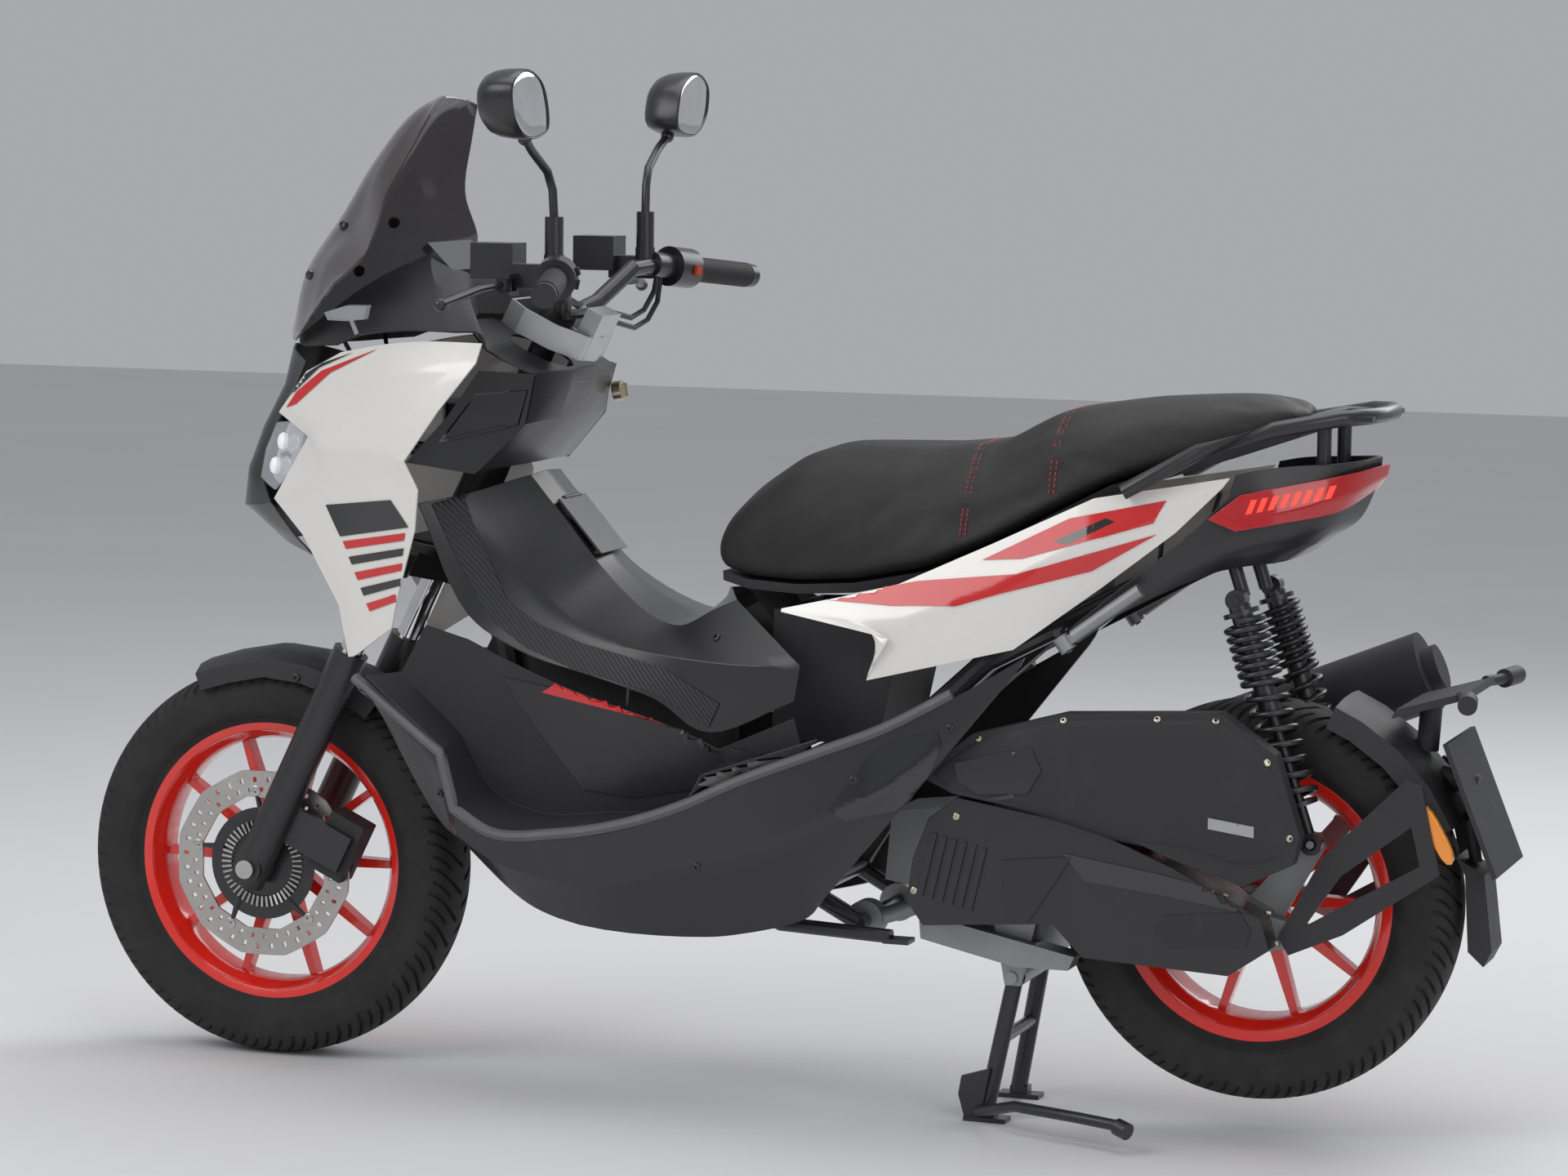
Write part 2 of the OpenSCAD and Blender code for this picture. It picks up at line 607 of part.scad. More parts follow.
bar_left = [[-288, 0, 1018], [-286, -30, 1018], [-274, -62, 1028], [-249, -130, 1071], [-232, -186, 1074],
            [-176, -grip_end_y, 1056]];
bar_points = [for (p = bar_left) [p.x - stretch, p.y, p.z]];
grip_dir = unit(bar_points[5] - bar_points[4]);
// Point on the left grip's axis, at a distance in from its end
function on_bar(d) = bar_points[5] - grip_dir * d;
module along_bar(d) translate(on_bar(d)) rotate([0, acos(grip_dir.z), atan2(grip_dir.y, grip_dir.x)])
    children();

// The tube of the handlebar, or with a wider radius the room it takes in what is clamped to it
module bar_tube(r) {
    bend = [for (i = [1:3]) bar_points[i]];
    inner = concat(bend, [bar_points[4], bar_points[4] + 16 * grip_dir]);
    bent_bar(concat(reversed(inner), [for (p = inner) mirror_y(p)]), r, 16);
    pair() rod(bar_points[4] + 6 * grip_dir, bar_points[5] + 4 * grip_dir, r);
}

module handlebar() color("#18181a") {
    bar_tube(bar_r);
    fork_space() difference() {
        translate([fork_offset, 0, 816]) cylinder(h = 52, r = 24);
        translate([fork_offset, 0, 800]) cylinder(h = 30 + reveal, r = stem_r + press);
    }
    pair() along_bar(-1) cylinder(h = 13, r = grip_r - 1);
}

module bar_cover() color("#b9bcbf") fork_space() translate([fork_offset, 0, 812]) {
    linear_extrude(34) difference() {
        polygon([[-48, -58], [-20, -74], [30, -70], [66, -44], [73, 0], [66, 44], [30, 70], [-20, 74],
                 [-48, 58]]);
        polygon([[-44, -55], [-19, -70], [28, -66], [62, -42], [69, 0], [62, 42], [28, 66], [-19, 70],
                 [-44, 55]]);
    }
    translate([44, -34, 0]) cube([24, 68, 66]);
    translate([24 + reveal, -4, 6]) cube([44, 8, 20]);
}

module grip(fit) difference() {
    along_bar(132) cylinder(h = 131, r = grip_r);
    along_bar(140) cylinder(h = 150, r = bar_r + fit);
}
module left_grip() color("#151517") grip(press);
module throttle_grip() color("#151517") mirror([0, 1, 0]) grip(running);

lever_pivot = [-292 - stretch, -224, 1060];
lever_tip = [-322 - stretch, -362, 1039];
module bar_controls() color("#1b1b1d") {
    difference() {
        pair() {
            along_bar(180) cylinder(h = 46, r = 27);
            along_bar(218) cylinder(h = 40, r = 17);
            translate([-346 - stretch, -206, 1066]) cube([58, 48, 46]);
            translate([-300 - stretch, -206, 1056]) cube([62, 34, 30]);
            translate(lever_pivot + [-12, -12, 8]) cube([24, 34, 6]);
            translate(lever_pivot + [-12, -12, -14]) cube([24, 34, 6]);
            translate(lever_pivot + [-12, 13.5, -14]) cube([24, 8, 28]);
            translate(lever_pivot - [0, 0, 10]) cylinder(h = 20, r = 4);
            translate([-246 - stretch, -168, 1060]) cylinder(h = 38, r = 13);
        }
        bar_tube(bar_r + bar_clear);
        button_at(146, 78, horn_size + button_room);
        button_at(162, 108, indicator_size + button_room + [0, 0, 8]);
        mirror([0, 1, 0]) button_at(150, 84, starter_size + button_room);
    }
    // mirror stems with their boots
    pair() {
        translate([-246 - stretch, -168, 1094]) cylinder(h = 52, r = 12);
        bent_bar([[-246 - stretch, -168, 1140], [-247 - stretch, -172, 1180], [-249 - stretch, -186, 1204],
              [-252 - stretch, -232, 1230], [-250 - stretch, -262, 1246]], 5.5, 12);
        translate(mirror_ball) sphere(9);
    }
    // cables that loop from the right switch housing to the column
    for (drop = [0, 14])
        bent_bar([[-234 - stretch, 198 - drop, 1062], [-240 - stretch, 202 - drop, 1024 + drop],
              [-248 - stretch, 186 - drop, 1000 + drop], [-256 - stretch, 156 - drop, 990 + drop],
              [-266 - stretch, 118 - drop, 998 + drop], [-270 - stretch, 92, 1008 + drop / 2]], 3.5);
}

module brake_lever() color("#1d1d1f") {
    difference() {
        translate(lever_pivot - [0, 0, 7.6]) cylinder(h = 15.2, r = 10);
        translate(lever_pivot - [0, 0, 20]) cylinder(h = 40, r = 4 + running);
    }
    bent_bar([lever_pivot + [-1.6, -6, 0], lever_pivot + [-13, -56, -5], lever_tip], 5.5);
    translate(lever_tip) sphere(8.5);
}
module left_brake_lever() brake_lever();
module right_brake_lever() mirror([0, 1, 0]) brake_lever();

// Buttons on the rider's side of the switch housings: position along the bar and height
horn_size = [7, 12, 10];
indicator_size = [7, 10, 12];
starter_size = [7, 13, 12];
button_room = [7, 2 * reveal, 2 * reveal];
module button_at(d, turn, size) along_bar(d) rotate([0, 0, turn]) translate([27.6, 0, 0])
    cube(size, center = true);
module horn_button() color("#c23a2e") button_at(146, 78, horn_size);
module indicator_switch() color("#d8d8d8") button_at(162, 108, indicator_size);
module starter_button() color("#b9b9b9") mirror([0, 1, 0]) button_at(150, 84, starter_size);

mirror_ball = [-250 - stretch, -262, 1246];
module mirror_head() {
    difference() {
        loft([for (s = [[-284, 0.55], [-272, 0.86], [-252, 1], [-226, 1]])
            [for (p = [[238, 1256], [262, 1248], [330, 1252], [362, 1280], [366, 1312], [340, 1330],
                       [290, 1332], [250, 1308]])
                [s[0] - stretch, -(302 + (p[0] - 302) * s[1]), 1288 + (p[1] - 1288) * s[1]]]]);
        translate(mirror_ball) sphere(9.4);
        rod(mirror_ball, mirror_ball + [-2, 40, -22], 11);
    }
}
module left_mirror() color("#19191b") mirror_head();
module right_mirror() color("#19191b") mirror([0, 1, 0]) mirror_head();

// ---------- front wheel and fork ----------
module fork_sliders() color("#1b1b1d") fork_space() {
    pair() difference() {
        union() {
            translate([0, -leg_y, -24]) cylinder(h = 354, r = stanchion_r + 7.5);
            cylinder_y(20, -leg_y - 23, -leg_y + 23);
        }
        translate([0, -leg_y, 24]) cylinder(h = 320, r = stanchion_r + bush_gap);
        cylinder_y(axle_r + bush_gap, -leg_y - 30, -leg_y + 30);
    }
    // carrier of the brake caliper and of the fender
    translate([19, -leg_y + 2, 50]) cube([89, 9, 52]);
    pair() translate([-6, -leg_y + 20, 230]) cube([14, leg_y - 20 - 64 - reveal, 40]);
}

fender_r = front_tyre_r + 20;
function on_wheel(centre, r, angle, y) = [centre.x + r * cos(angle), y, centre.z + r * sin(angle)];
front_centre = [axle_x, 0, front_tyre_r];
module front_fender() color("#2a2a2c") {
    shell([for (a = [54, 66, 78, 90, 102, 112])
        [for (p = [[-64, -34], [-62, -9], [-36, 2], [0, 6], [36, 2], [62, -9], [64, -34]])
            on_wheel(front_centre, fender_r + p[1] - (a > 100 ? 5 : 0), a, p[0])]]);
}

module front_axle() color("#9a9da1") translate(front_centre) {
    cylinder_y(axle_r, -leg_y - 28, leg_y + 28);
    pair() cylinder_y(axle_r + 5, -leg_y - 30, -leg_y - 24 - reveal);
    pair() cylinder_y(axle_r + 6, -leg_y + 24 + reveal, -hub_half - reveal);
}
hub_half = 54;

module front_caliper() color("#1b1b1d") fork_space() difference() {
    translate([64, -leg_y + 11 + reveal, 36]) cube([52, 42, 84]);
    cylinder_y(disc_r + 4, disc_y - 4, disc_y + 4);
}

// Rim: barrel with flanges, hub and slim spokes
module wheel_rim(rim_r, half_w, hub_y, hub_r, bore, spokes) {
    rotate([90, 0, 0]) {
        rotate_extrude() polygon([[rim_r - 22, -half_w + 14], [rim_r - 16, -half_w + 8],
            [rim_r - 14, -half_w], [rim_r, -half_w - 4], [rim_r, -half_w - 1], [rim_r - 9, -half_w + 3],
            [rim_r - 12, -half_w + 14], [rim_r - 18, -half_w + 22], [rim_r - 18, half_w - 22],
            [rim_r - 12, half_w - 14], [rim_r - 9, half_w - 3], [rim_r, half_w + 1], [rim_r, half_w + 4],
            [rim_r - 14, half_w], [rim_r - 16, half_w - 8], [rim_r - 22, half_w - 14],
            [rim_r - 26, half_w - 22], [rim_r - 26, -half_w + 22]]);
        difference() {
            union() {
                cylinder(h = 2 * hub_y, r = hub_r, center = true);
                for (k = [0:spokes - 1]) rotate(k * 360 / spokes) translate([0, 0, -11])
                    linear_extrude(22)
                        polygon([[hub_r - 6, -9], [rim_r - 24, -5], [rim_r - 24, 5], [hub_r - 6, 9]]);
            }
            cylinder(h = 4 * hub_y, r = bore, center = true);
        }
    }
}

// Tyre: round crown over an open casing
module tyre(outer_r, width, rim_r, half_w) {
    crown = (outer_r - rim_r) * 0.56;
    casing = 8;
    rotate([90, 0, 0]) rotate_extrude() polygon(concat(
        [[rim_r - 8, half_w - 4 - reveal], [rim_r + 0.5, half_w + 0.6]],
        [for (a = [115:-11.5:-115]) [outer_r - crown + crown * cos(a), width / 2 * sin(a)]],
        [[rim_r + 0.5, -half_w - 0.6], [rim_r - 8, -half_w + 4 + reveal], [rim_r - 8, -half_w + 14]],
        [for (a = [-110:22:110])
            [outer_r - crown + (crown - casing) * cos(a), (width / 2 - casing) * sin(a)]],
        [[rim_r - 8, half_w - 14]]));
}

front_rim_r = front_tyre_r - 75;
rear_rim_r = rear_tyre_r - 79;
disc_y = -62;
module front_rim() color("#e8321c") translate(front_centre)
    wheel_rim(front_rim_r, 38, hub_half, 34, axle_r + running, 10);
module front_tyre() color("#1c1c1d") translate(front_centre)
    tyre(front_tyre_r, front_tyre_w, front_rim_r, 38);
module front_disc() color("#a9acaf") translate(front_centre) difference() {
    union() {
        cylinder_y(disc_r, disc_y - 2, disc_y + 2);
        cylinder_y(40, disc_y + 2, -hub_half - reveal);
    }
    difference() {
        cylinder_y(disc_r - 34, disc_y - 5, disc_y + 1.99);
        cylinder_y(62, disc_y - 6, disc_y + 3);
        for (k = [0:4]) rotate([0, k * 72, 0]) translate([-9, disc_y - 6, 0]) cube([18, 12, 110]);
    }
    cylinder_y(20, disc_y - 6, 0);
}

// ---------- engine unit ----------
case_outline = [[243, 346], [264, 400], [301, 428], [467, 402], [581, 356], [694, 300], [705, 260],
                [654, 225], [467, 235], [427, 275], [258, 262], [236, 292]];
case_hollow = [[250, 344], [269, 395], [304, 422], [465, 396], [578, 350], [687, 296], [697, 262],
               [652, 231], [470, 241], [430, 281], [260, 268], [242, 294]];
crank_centre = [329, 0, 345];
clutch_centre = [606, 0, 285];
case_in = -72;
case_face = -112;
cover_face = -160;

module engine_case() color("#232325") rear_space() {
    slab_y(case_outline, case_face, case_in);
    slab_y([[238, 269], [444, 226], [436, 208], [366, 208], [241, 236]], case_face, case_in + 2);
    slab_y([[238, 269], [392, 237], [392, 208], [366, 208], [241, 236]], case_in, 62);
    slab_y([[236, 250], [250, 400], [390, 400], [392, 232]], case_in, 96);
    slab_y([[176, 300], [184, 390], [250, 398], [240, 292]], -58, 58);
    difference() {
        pair() {
            translate(swing_pivot) cylinder_y(25, -86, -60);
            rod([176, -73, 254], [250, -73, 280], 11);
        }
        translate(swing_pivot) cylinder_y(10 + running, -100, 100);
    }
    // wheel shaft and the arm on its right side
    translate(rear_axle) {
        cylinder_y(11, case_in, 118);
        cylinder_y(24, case_in, -46);
        cylinder_y(24, 100, 124);
    }
    bent_bar([[376, 86, 300], [470, 110, 292], [660, 110, 300]], 13);
    // lower shock pins with the lugs that carry them
    pair() translate([shock_foot.x, 0, shock_foot.z]) cylinder_y(5, -112, -80);
    slab_y([[650, 300], [690, 262], [758, 384], [750, 400], [736, 398]], -86, -77);
    slab_y([[645, 290], [672, 286], [758, 384], [750, 400], [736, 398]], 77, 86);
    // lugs of the hugger's side arms
    slab_y([[690, 250], [732, 258], [732, 286], [690, 296]], case_face, -84);
    slab_y([[650, 290], [732, 258], [732, 286], [660, 312]], 100, -case_face);
    // lugs and pin of the centre stand
    pair() slab_y([[330, 272], [390, 272], [368, 180], [348, 180]], -92, -80);
    translate(stand_pivot) cylinder_y(8, -96, 96);
}

module transmission_cover() color("#1f1f21") rear_space() difference() {
    slab_y(case_outline, cover_face, case_face - reveal);
    slab_y(case_hollow, cover_face + 4, case_face + 1);
}

module pulley(centre, r) translate(centre) {
    cylinder_y(r, case_face - 12, case_face - 6);
    cylinder_y(r - 18, case_face - 26, case_face - 12);
    cylinder_y(r, case_face - 34, case_face - 26);
    cylinder_y(10, case_face - 42, case_face - reveal);
}
module drive_pulley() color("#8c8f92") rear_space() pulley(crank_centre, 54);
module driven_pulley() color("#8c8f92") rear_space() pulley(clutch_centre, 42);

airbox_outline = [[252, 454], [321, 510], [440, 543], [639, 554], [710, 506], [743, 406], [734, 370],
                  [672, 340], [589, 366], [480, 408], [298, 434]];
module airbox() color("#202022") rear_space() {
    for (foot = [[420, 411], [540, 376]])
        translate([foot[0], -94, foot[1]]) cylinder(h = 20, r = 7);
    slab_y(airbox_outline, -170, -140);
    slab_y([[262, 450], [330, 502], [440, 530], [600, 540], [600, 372], [480, 412], [298, 436]],
           -140, -76);
}

module exhaust() color("#1d1d1f") rear_space() {
    bent_bar([[206, 30, 293.6], [206, 30, 280], [210, 60, 226], [290, 150, 196], [420, 176, 300],
          [500, 182, 430]], 17);
    rod([490, 182, 418], [560, 186, 468], 34);
    rod([545, 186, 462], [830, 186, 578], 52);
    rod([826, 186, 576], [846, 186, 584], 30);
    translate([660, 0, 304]) cylinder_y(14, 124 + reveal, 140);
    rod([660, 134, 304], [640, 170, 470], 9);
}

rear_centre = rear_axle;
module rear_hugger() color("#262628") rear_space() {
    shell([for (a = [24, 36, 48, 60, 68])
        [for (p = [[-84, -20], [-80, 8], [-44, 16], [0, 18], [44, 16], [80, 8], [84, -20]])
            on_wheel(rear_centre, rear_tyre_r + 14 + p[1], a, p[0])]]);
    // side arms
    pair() difference() {
        slab_y([[708, 272], [722, 250], [790, 280], [908, 362], [884, 470], [864, 478], [762, 376]],
               -125, -117);
        slab_y([[742, 288], [884, 372], [872, 420], [784, 352]], -128, -110);
    }
    pair() rod([872, -121, 446], [868, -78, 442], 10);
    pair() translate([722, 0, 272]) cylinder_y(8, -121, case_face - reveal);
    // plate carrier, plate and mudflap
    rod([884, 0, 470], [931, 0, 458], 14);
    slab_y([[902, 520], [908, 521], [974, 358], [968, 356]], -93, 93);
    slab_y([[912, 372], [948, 352], [960, 256], [950, 236], [930, 254], [924, 350]], -36, 36);
    rod([920, 0, 427], [931, 0, 362], 8);
    // rear indicators on their wing
    slab_y([[836, 548], [842, 560], [930, 586], [934, 578]], -88, 88);
    pair() rod([922, -84, 580], [940, -128, 580], 7);
    pair() rod([938, -124, 580], [946, -172, 580], 12);
    rod([866, 0, 500], [870, 0, 562], 14);
}

module rear_rim() color("#e8321c") rear_space() translate(rear_centre)
    wheel_rim(rear_rim_r, 47, 44, 36, 11 + running, 10);
module rear_tyre() color("#1c1c1d") rear_space() translate(rear_centre)
    tyre(rear_tyre_r, rear_tyre_w, rear_rim_r, 47);

// ---------- shock absorbers ----------
shock_dir = unit(shock_foot - shock_top);
module on_shock(d) pair() translate(mirror_y(shock_top) + shock_dir * d)
    rotate([0, acos(shock_dir.z), atan2(shock_dir.y, shock_dir.x)]) children();
shock_length = norm(shock_foot - shock_top);
spring_length = 242;

module shock_bodies() color("#1d1d1f") rear_space() {
    difference() {
        union() {
            pair() translate(mirror_y(shock_top)) cylinder_y(13, -12, 12);
            on_shock(8) cylinder(h = 142, r = damper_r);
            on_shock(14) cylinder(h = 6, r = spring_r);
        }
        pair() translate(mirror_y(shock_top)) cylinder_y(6 + running, -20, 20);
        on_shock(32) cylinder(h = 140, r = 7 + running);
    }
}

// Envelope of the coils between the two seats
module shock_springs() color("#19191b") rear_space() on_shock(20) difference() {
    cylinder(h = spring_length, r = spring_r);
    translate([0, 0, -1]) cylinder(h = spring_length + 2, r = spring_r - 5);
}

module shock_rods() color("#b9bdc1") rear_space() {
    difference() {
        union() {
            on_shock(134) cylinder(h = shock_length - 144, r = 7);
            on_shock(20 + spring_length) cylinder(h = 6, r = spring_r);
            pair() translate(mirror_y(shock_foot)) cylinder_y(14, -10, 10);
        }
        pair() translate(mirror_y(shock_foot)) cylinder_y(7.5, -20, 20);
    }
}

// ---------- centre stand ----------
stand_pad = [322, 6];    // X of the pads and their thickness
module centre_stand() color("#161618") rear_space() {
    difference() {
        union() {
            translate(stand_pivot) cylinder_y(stand_tube_r + 4, -79, 79);
            pair() rod([stand_pivot.x - 3, -64, stand_pivot.z - 6], [stand_pad.x, -stand_foot_y, 12],
                       stand_tube_r);
        }
        translate(stand_pivot) cylinder_y(8 + running, -90, 90);
    }
    pair() translate([stand_pad.x - 26, -stand_foot_y - 16, 0]) {
        cube([56, 27, stand_pad.y]);
        translate([16, 4, 0]) cube([24, 20, 16]);
    }
    rod([340, -64, 106], [340, 64, 106], stand_tube_r - 3);
    // gusset and lever for the rider's foot
    slab_y([[318, 6], [296, 6], [288, 34], [292, 58], [330, 70]], -stand_foot_y - 13, -stand_foot_y - 5);
    bent_bar([[316, -92, 14], [352, -122, 26], [380, -150, 37], [470, -180, 36], [530, -200, 34]], 7);
    rod([528, -204, 34], [544, -212, 30], 11);
}

// ---------- output ----------
frame();
front_side_panels();
nose_mask();
front_lamps();
windscreen();
dash_cowl();
instrument_cluster();
leg_shield();
tunnel_cover();
fuel_tank();
footboards();
floor_skirts();
rear_side_panels();
tail_fairing();
tail_light();
grab_rail();
storage_bin();
glovebox_door();
fuel_door();
fuel_cap();
ignition_switch();
seat_cushion();
seat_base();
left_pillion_peg();
right_pillion_peg();
side_stand();
fork_yoke();
fork_stanchions();
handlebar();
bar_cover();
left_grip();
throttle_grip();
bar_controls();
left_brake_lever();
right_brake_lever();
horn_button();
indicator_switch();
starter_button();
left_mirror();
right_mirror();
fork_sliders();
front_fender();
front_axle();
front_caliper();
front_rim();
front_tyre();
front_disc();
engine_case();
transmission_cover();
drive_pulley();
driven_pulley();
airbox();
exhaust();
rear_hugger();
rear_rim();
rear_tyre();
shock_bodies();
shock_rods();
shock_springs();
centre_stand();
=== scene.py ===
"""Looks of a crossover maxi scooter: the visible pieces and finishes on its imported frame."""

import math

import bmesh
import bpy
import numpy as np
from mathutils import Matrix, Vector
from mathutils.bvhtree import BVHTree


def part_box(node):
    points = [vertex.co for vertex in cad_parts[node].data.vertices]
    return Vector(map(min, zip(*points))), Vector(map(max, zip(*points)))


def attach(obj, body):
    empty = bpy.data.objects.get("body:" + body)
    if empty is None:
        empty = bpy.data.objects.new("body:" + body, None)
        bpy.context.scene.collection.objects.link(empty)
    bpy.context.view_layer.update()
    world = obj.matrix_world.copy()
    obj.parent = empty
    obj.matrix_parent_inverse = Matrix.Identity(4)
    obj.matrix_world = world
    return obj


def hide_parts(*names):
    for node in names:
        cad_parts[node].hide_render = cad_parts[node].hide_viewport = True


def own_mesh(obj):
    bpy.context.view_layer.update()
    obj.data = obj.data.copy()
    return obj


bl_info = {
    "name": "Crossover Scooter Looks",
    "version": (1, 0, 0),
    "blender": (4, 5, 0),
    "location": "View3D > Sidebar > Scooter",
    "description": "Builds the visible pieces and finishes of a scooter on its frame",
    "category": "Object",
}

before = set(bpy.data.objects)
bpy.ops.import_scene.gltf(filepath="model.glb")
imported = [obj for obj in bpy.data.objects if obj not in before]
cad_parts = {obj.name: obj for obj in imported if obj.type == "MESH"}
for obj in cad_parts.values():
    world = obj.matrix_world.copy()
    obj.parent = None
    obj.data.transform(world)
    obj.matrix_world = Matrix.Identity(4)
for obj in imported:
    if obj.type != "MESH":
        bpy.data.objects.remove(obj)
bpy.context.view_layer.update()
MM = 0.001
LEFT, RIGHT = 1, -1
NEAR_SIDE = -0.1
PANEL_STEPS = 6
FINISHES = {}
PIECES = {}


# ---------- sizes and colours ----------
def length(name, description, default, high=1.0):
    """A length property in metres."""
    return bpy.props.FloatProperty(name=name, description=description, default=default,
                                   min=0.0, max=high, unit="LENGTH", precision=4)


def count(name, description, default, high):
    """A whole-number property."""
    return bpy.props.IntProperty(name=name, description=description, default=default,
                                 min=1, max=high)


def amount(name, description, default, high=10.0):
    """A plain number property."""
    return bpy.props.FloatProperty(name=name, description=description, default=default,
                                   min=0.0, max=high)


def colour(name, description, default):
    """A linear colour property."""
    return bpy.props.FloatVectorProperty(name=name, description=description, default=default,
                                         size=3, min=0.0, max=1.0, subtype="COLOR")


class ScooterSizes(bpy.types.PropertyGroup):
    """Sizes of the pieces added to the frame."""
    edge: length("Edge radius", "Rounding of moulded edges", 0.0011)
    decal: length("Decal", "Thickness of a printed decal", 0.0004)
    lift: length("Lift", "Gap that a laid-on detail keeps from its panel", 0.0009)
    cell: length("Cell", "Spacing of the points of a laid-on detail", 0.0065)
    groove: length("Tread depth", "Depth of the tyre grooves", 0.0055)
    blocks: count("Tread blocks", "Blocks round a tyre", 44, 90)
    wire: length("Spring wire", "Radius of the spring wire", 0.0041)
    close_turns: amount("Close turns", "Closely wound turns of a spring", 7.0, 30.0)
    open_turns: amount("Open turns", "Widely wound turns of a spring", 7.5, 30.0)
    stitch: length("Stitch", "Length of one stitch", 0.0062)
    thread: length("Thread", "Radius of the seat thread", 0.0009)
    seam: length("Seam", "Distance between the two rows of a seam", 0.007)
    voxel: length("Pad voxel", "Grid of the seat foam", 0.0075)
    swell: length("Pad swell", "Furthest that the seat foam may move", 0.016)
    tuck: length("Pad tuck", "How much smaller the foam starts", 0.004)
    pressure: amount("Pad pressure", "Pressure inside the seat foam", 3.0, 20.0)
    lens: amount("Lens", "Focal length of the view in millimetres", 110.0, 400.0)


class ScooterColours(bpy.types.PropertyGroup):
    """Colours of the finishes."""
    white: colour("Pearl white", "Painted side panels", (0.80, 0.775, 0.73))
    satin: colour("Satin black", "Moulded body panels", (0.0165, 0.0165, 0.0185))
    trim: colour("Dark trim", "Grained trim and footboards", (0.024, 0.024, 0.027))
    strip: colour("Edge strip", "Light edge of the footboards", (0.10, 0.10, 0.108))
    gloss: colour("Gloss black", "Glossy inserts", (0.006, 0.006, 0.007))
    red: colour("Signal red", "Decals and inserts", (0.62, 0.010, 0.012))
    rim: colour("Rim red", "Wheels", (0.80, 0.022, 0.012))
    silver: colour("Silver", "Metallic plastic", (0.47, 0.475, 0.48))
    metal: colour("Steel", "Bare steel", (0.56, 0.55, 0.53))
    zinc: colour("Zinc", "Plated screws", (0.66, 0.60, 0.46))
    cast: colour("Cast alloy", "Engine castings", (0.36, 0.365, 0.37))
    tyre: colour("Tyre", "Tyre rubber", (0.019, 0.019, 0.020))
    cover: colour("Seat cover", "Seat cover", (0.0135, 0.0132, 0.0135))
    smoke: colour("Smoke", "Tinted windscreen", (0.022, 0.008, 0.010))
    amber: colour("Amber", "Side reflectors", (0.95, 0.30, 0.02))
    lamp: colour("Lamp red", "Tail light", (0.62, 0.008, 0.014))
    floor: colour("Floor", "Studio floor", (0.72, 0.72, 0.725))


# ---------- shader expressions ----------
class Val:
    """One shader value: arithmetic on it adds Math nodes."""

    def __init__(self, finish, socket):
        self.finish, self.socket = finish, socket

    def __add__(self, other):
        return self.finish.math("ADD", self, other)

    __radd__ = __add__

    def __sub__(self, other):
        return self.finish.math("SUBTRACT", self, other)

    def __rsub__(self, other):
        return self.finish.math("SUBTRACT", other, self)

    def __mul__(self, other):
        return self.finish.math("MULTIPLY", self, other)

    __rmul__ = __mul__

    def wave(self):
        """Sine of the value, moved to run from 0 to 1."""
        return self.finish.math("SINE", self) * 0.5 + 0.5

    def step(self, low, high):
        """0 below low and 1 above high, smooth between."""
        node = self.finish.add("ShaderNodeMapRange", {"interpolation_type": "SMOOTHSTEP"},
                               {"Value": self, "From Min": low, "From Max": high})
        return Val(self.finish, node.outputs[0])


class Finish:
    """A material under construction on one Principled shader."""

    def __init__(self, name, **surface):
        self.material = bpy.data.materials.new(name)
        self.material.use_nodes = True
        self.tree = self.material.node_tree
        self.shader = self.tree.nodes["Principled BSDF"]
        place = self.add("ShaderNodeTexCoord").outputs["Object"]
        self.place = place
        parts = self.add("ShaderNodeSeparateXYZ", None, {0: place})
        self.x, self.y, self.z = (Val(self, s) for s in parts.outputs)
        for key, value in surface.items():
            self.set(key.replace("_", " "), value)
        FINISHES[name] = self.material

    def add(self, kind, settings=None, inputs=None):
        """A node of any type, with its settings first and then its sockets."""
        node = self.tree.nodes.new(kind)
        for key, value in (settings or {}).items():
            setattr(node, key, value)
        for key, value in (inputs or {}).items():
            self.feed(node.inputs[key], value)
        return node

    def feed(self, socket, value):
        """Links a value to a socket, or sets it there."""
        if isinstance(value, Val):
            value = value.socket
        if isinstance(value, bpy.types.NodeSocket):
            self.tree.links.new(value, socket)
        elif socket.type == "RGBA" and len(value) == 3:
            socket.default_value = (*value, 1.0)
        else:
            socket.default_value = value

    def set(self, name, value):
        """A value or link on the shader's own socket."""
        self.feed(self.shader.inputs[name], value)

    def math(self, operation, *values):
        """A Math node on values."""
        node = self.add("ShaderNodeMath", {"operation": operation}, dict(enumerate(values)))
        return Val(self, node.outputs[0])

    def noise(self, scale, detail=3.0, stretch=(1.0, 1.0, 1.0)):
        """Soft noise from 0 to 1, with scale in features a metre."""
        spread = self.add("ShaderNodeVectorMath", {"operation": "MULTIPLY"},
                          {0: self.place, 1: stretch})
        node = self.add("ShaderNodeTexNoise", None,
                        {"Vector": spread.outputs[0], "Scale": scale, "Detail": detail})
        return Val(self, node.outputs[0])

    def cells(self, scale, feature="DISTANCE_TO_EDGE"):
        """Distance to the edges of random cells."""
        node = self.add("ShaderNodeTexVoronoi", {"feature": feature},
                        {"Vector": self.place, "Scale": scale})
        return Val(self, node.outputs["Distance"])

    def mix(self, share, first, second):
        """A colour from first at 0 to second at 1."""
        node = self.add("ShaderNodeMix", {"data_type": "RGBA"}, {0: share, 6: first, 7: second})
        return node.outputs[2]

    def bump(self, height, depth, strength=1.0):
        """Relief of a height from 0 to 1, depth in metres."""
        node = self.add("ShaderNodeBump", None,
                        {"Height": height, "Distance": depth, "Strength": strength})
        self.set("Normal", node.outputs[0])


def tint(base, factor):
    """A colour made lighter or darker."""
    return tuple(min(1.0, c * factor) for c in base)


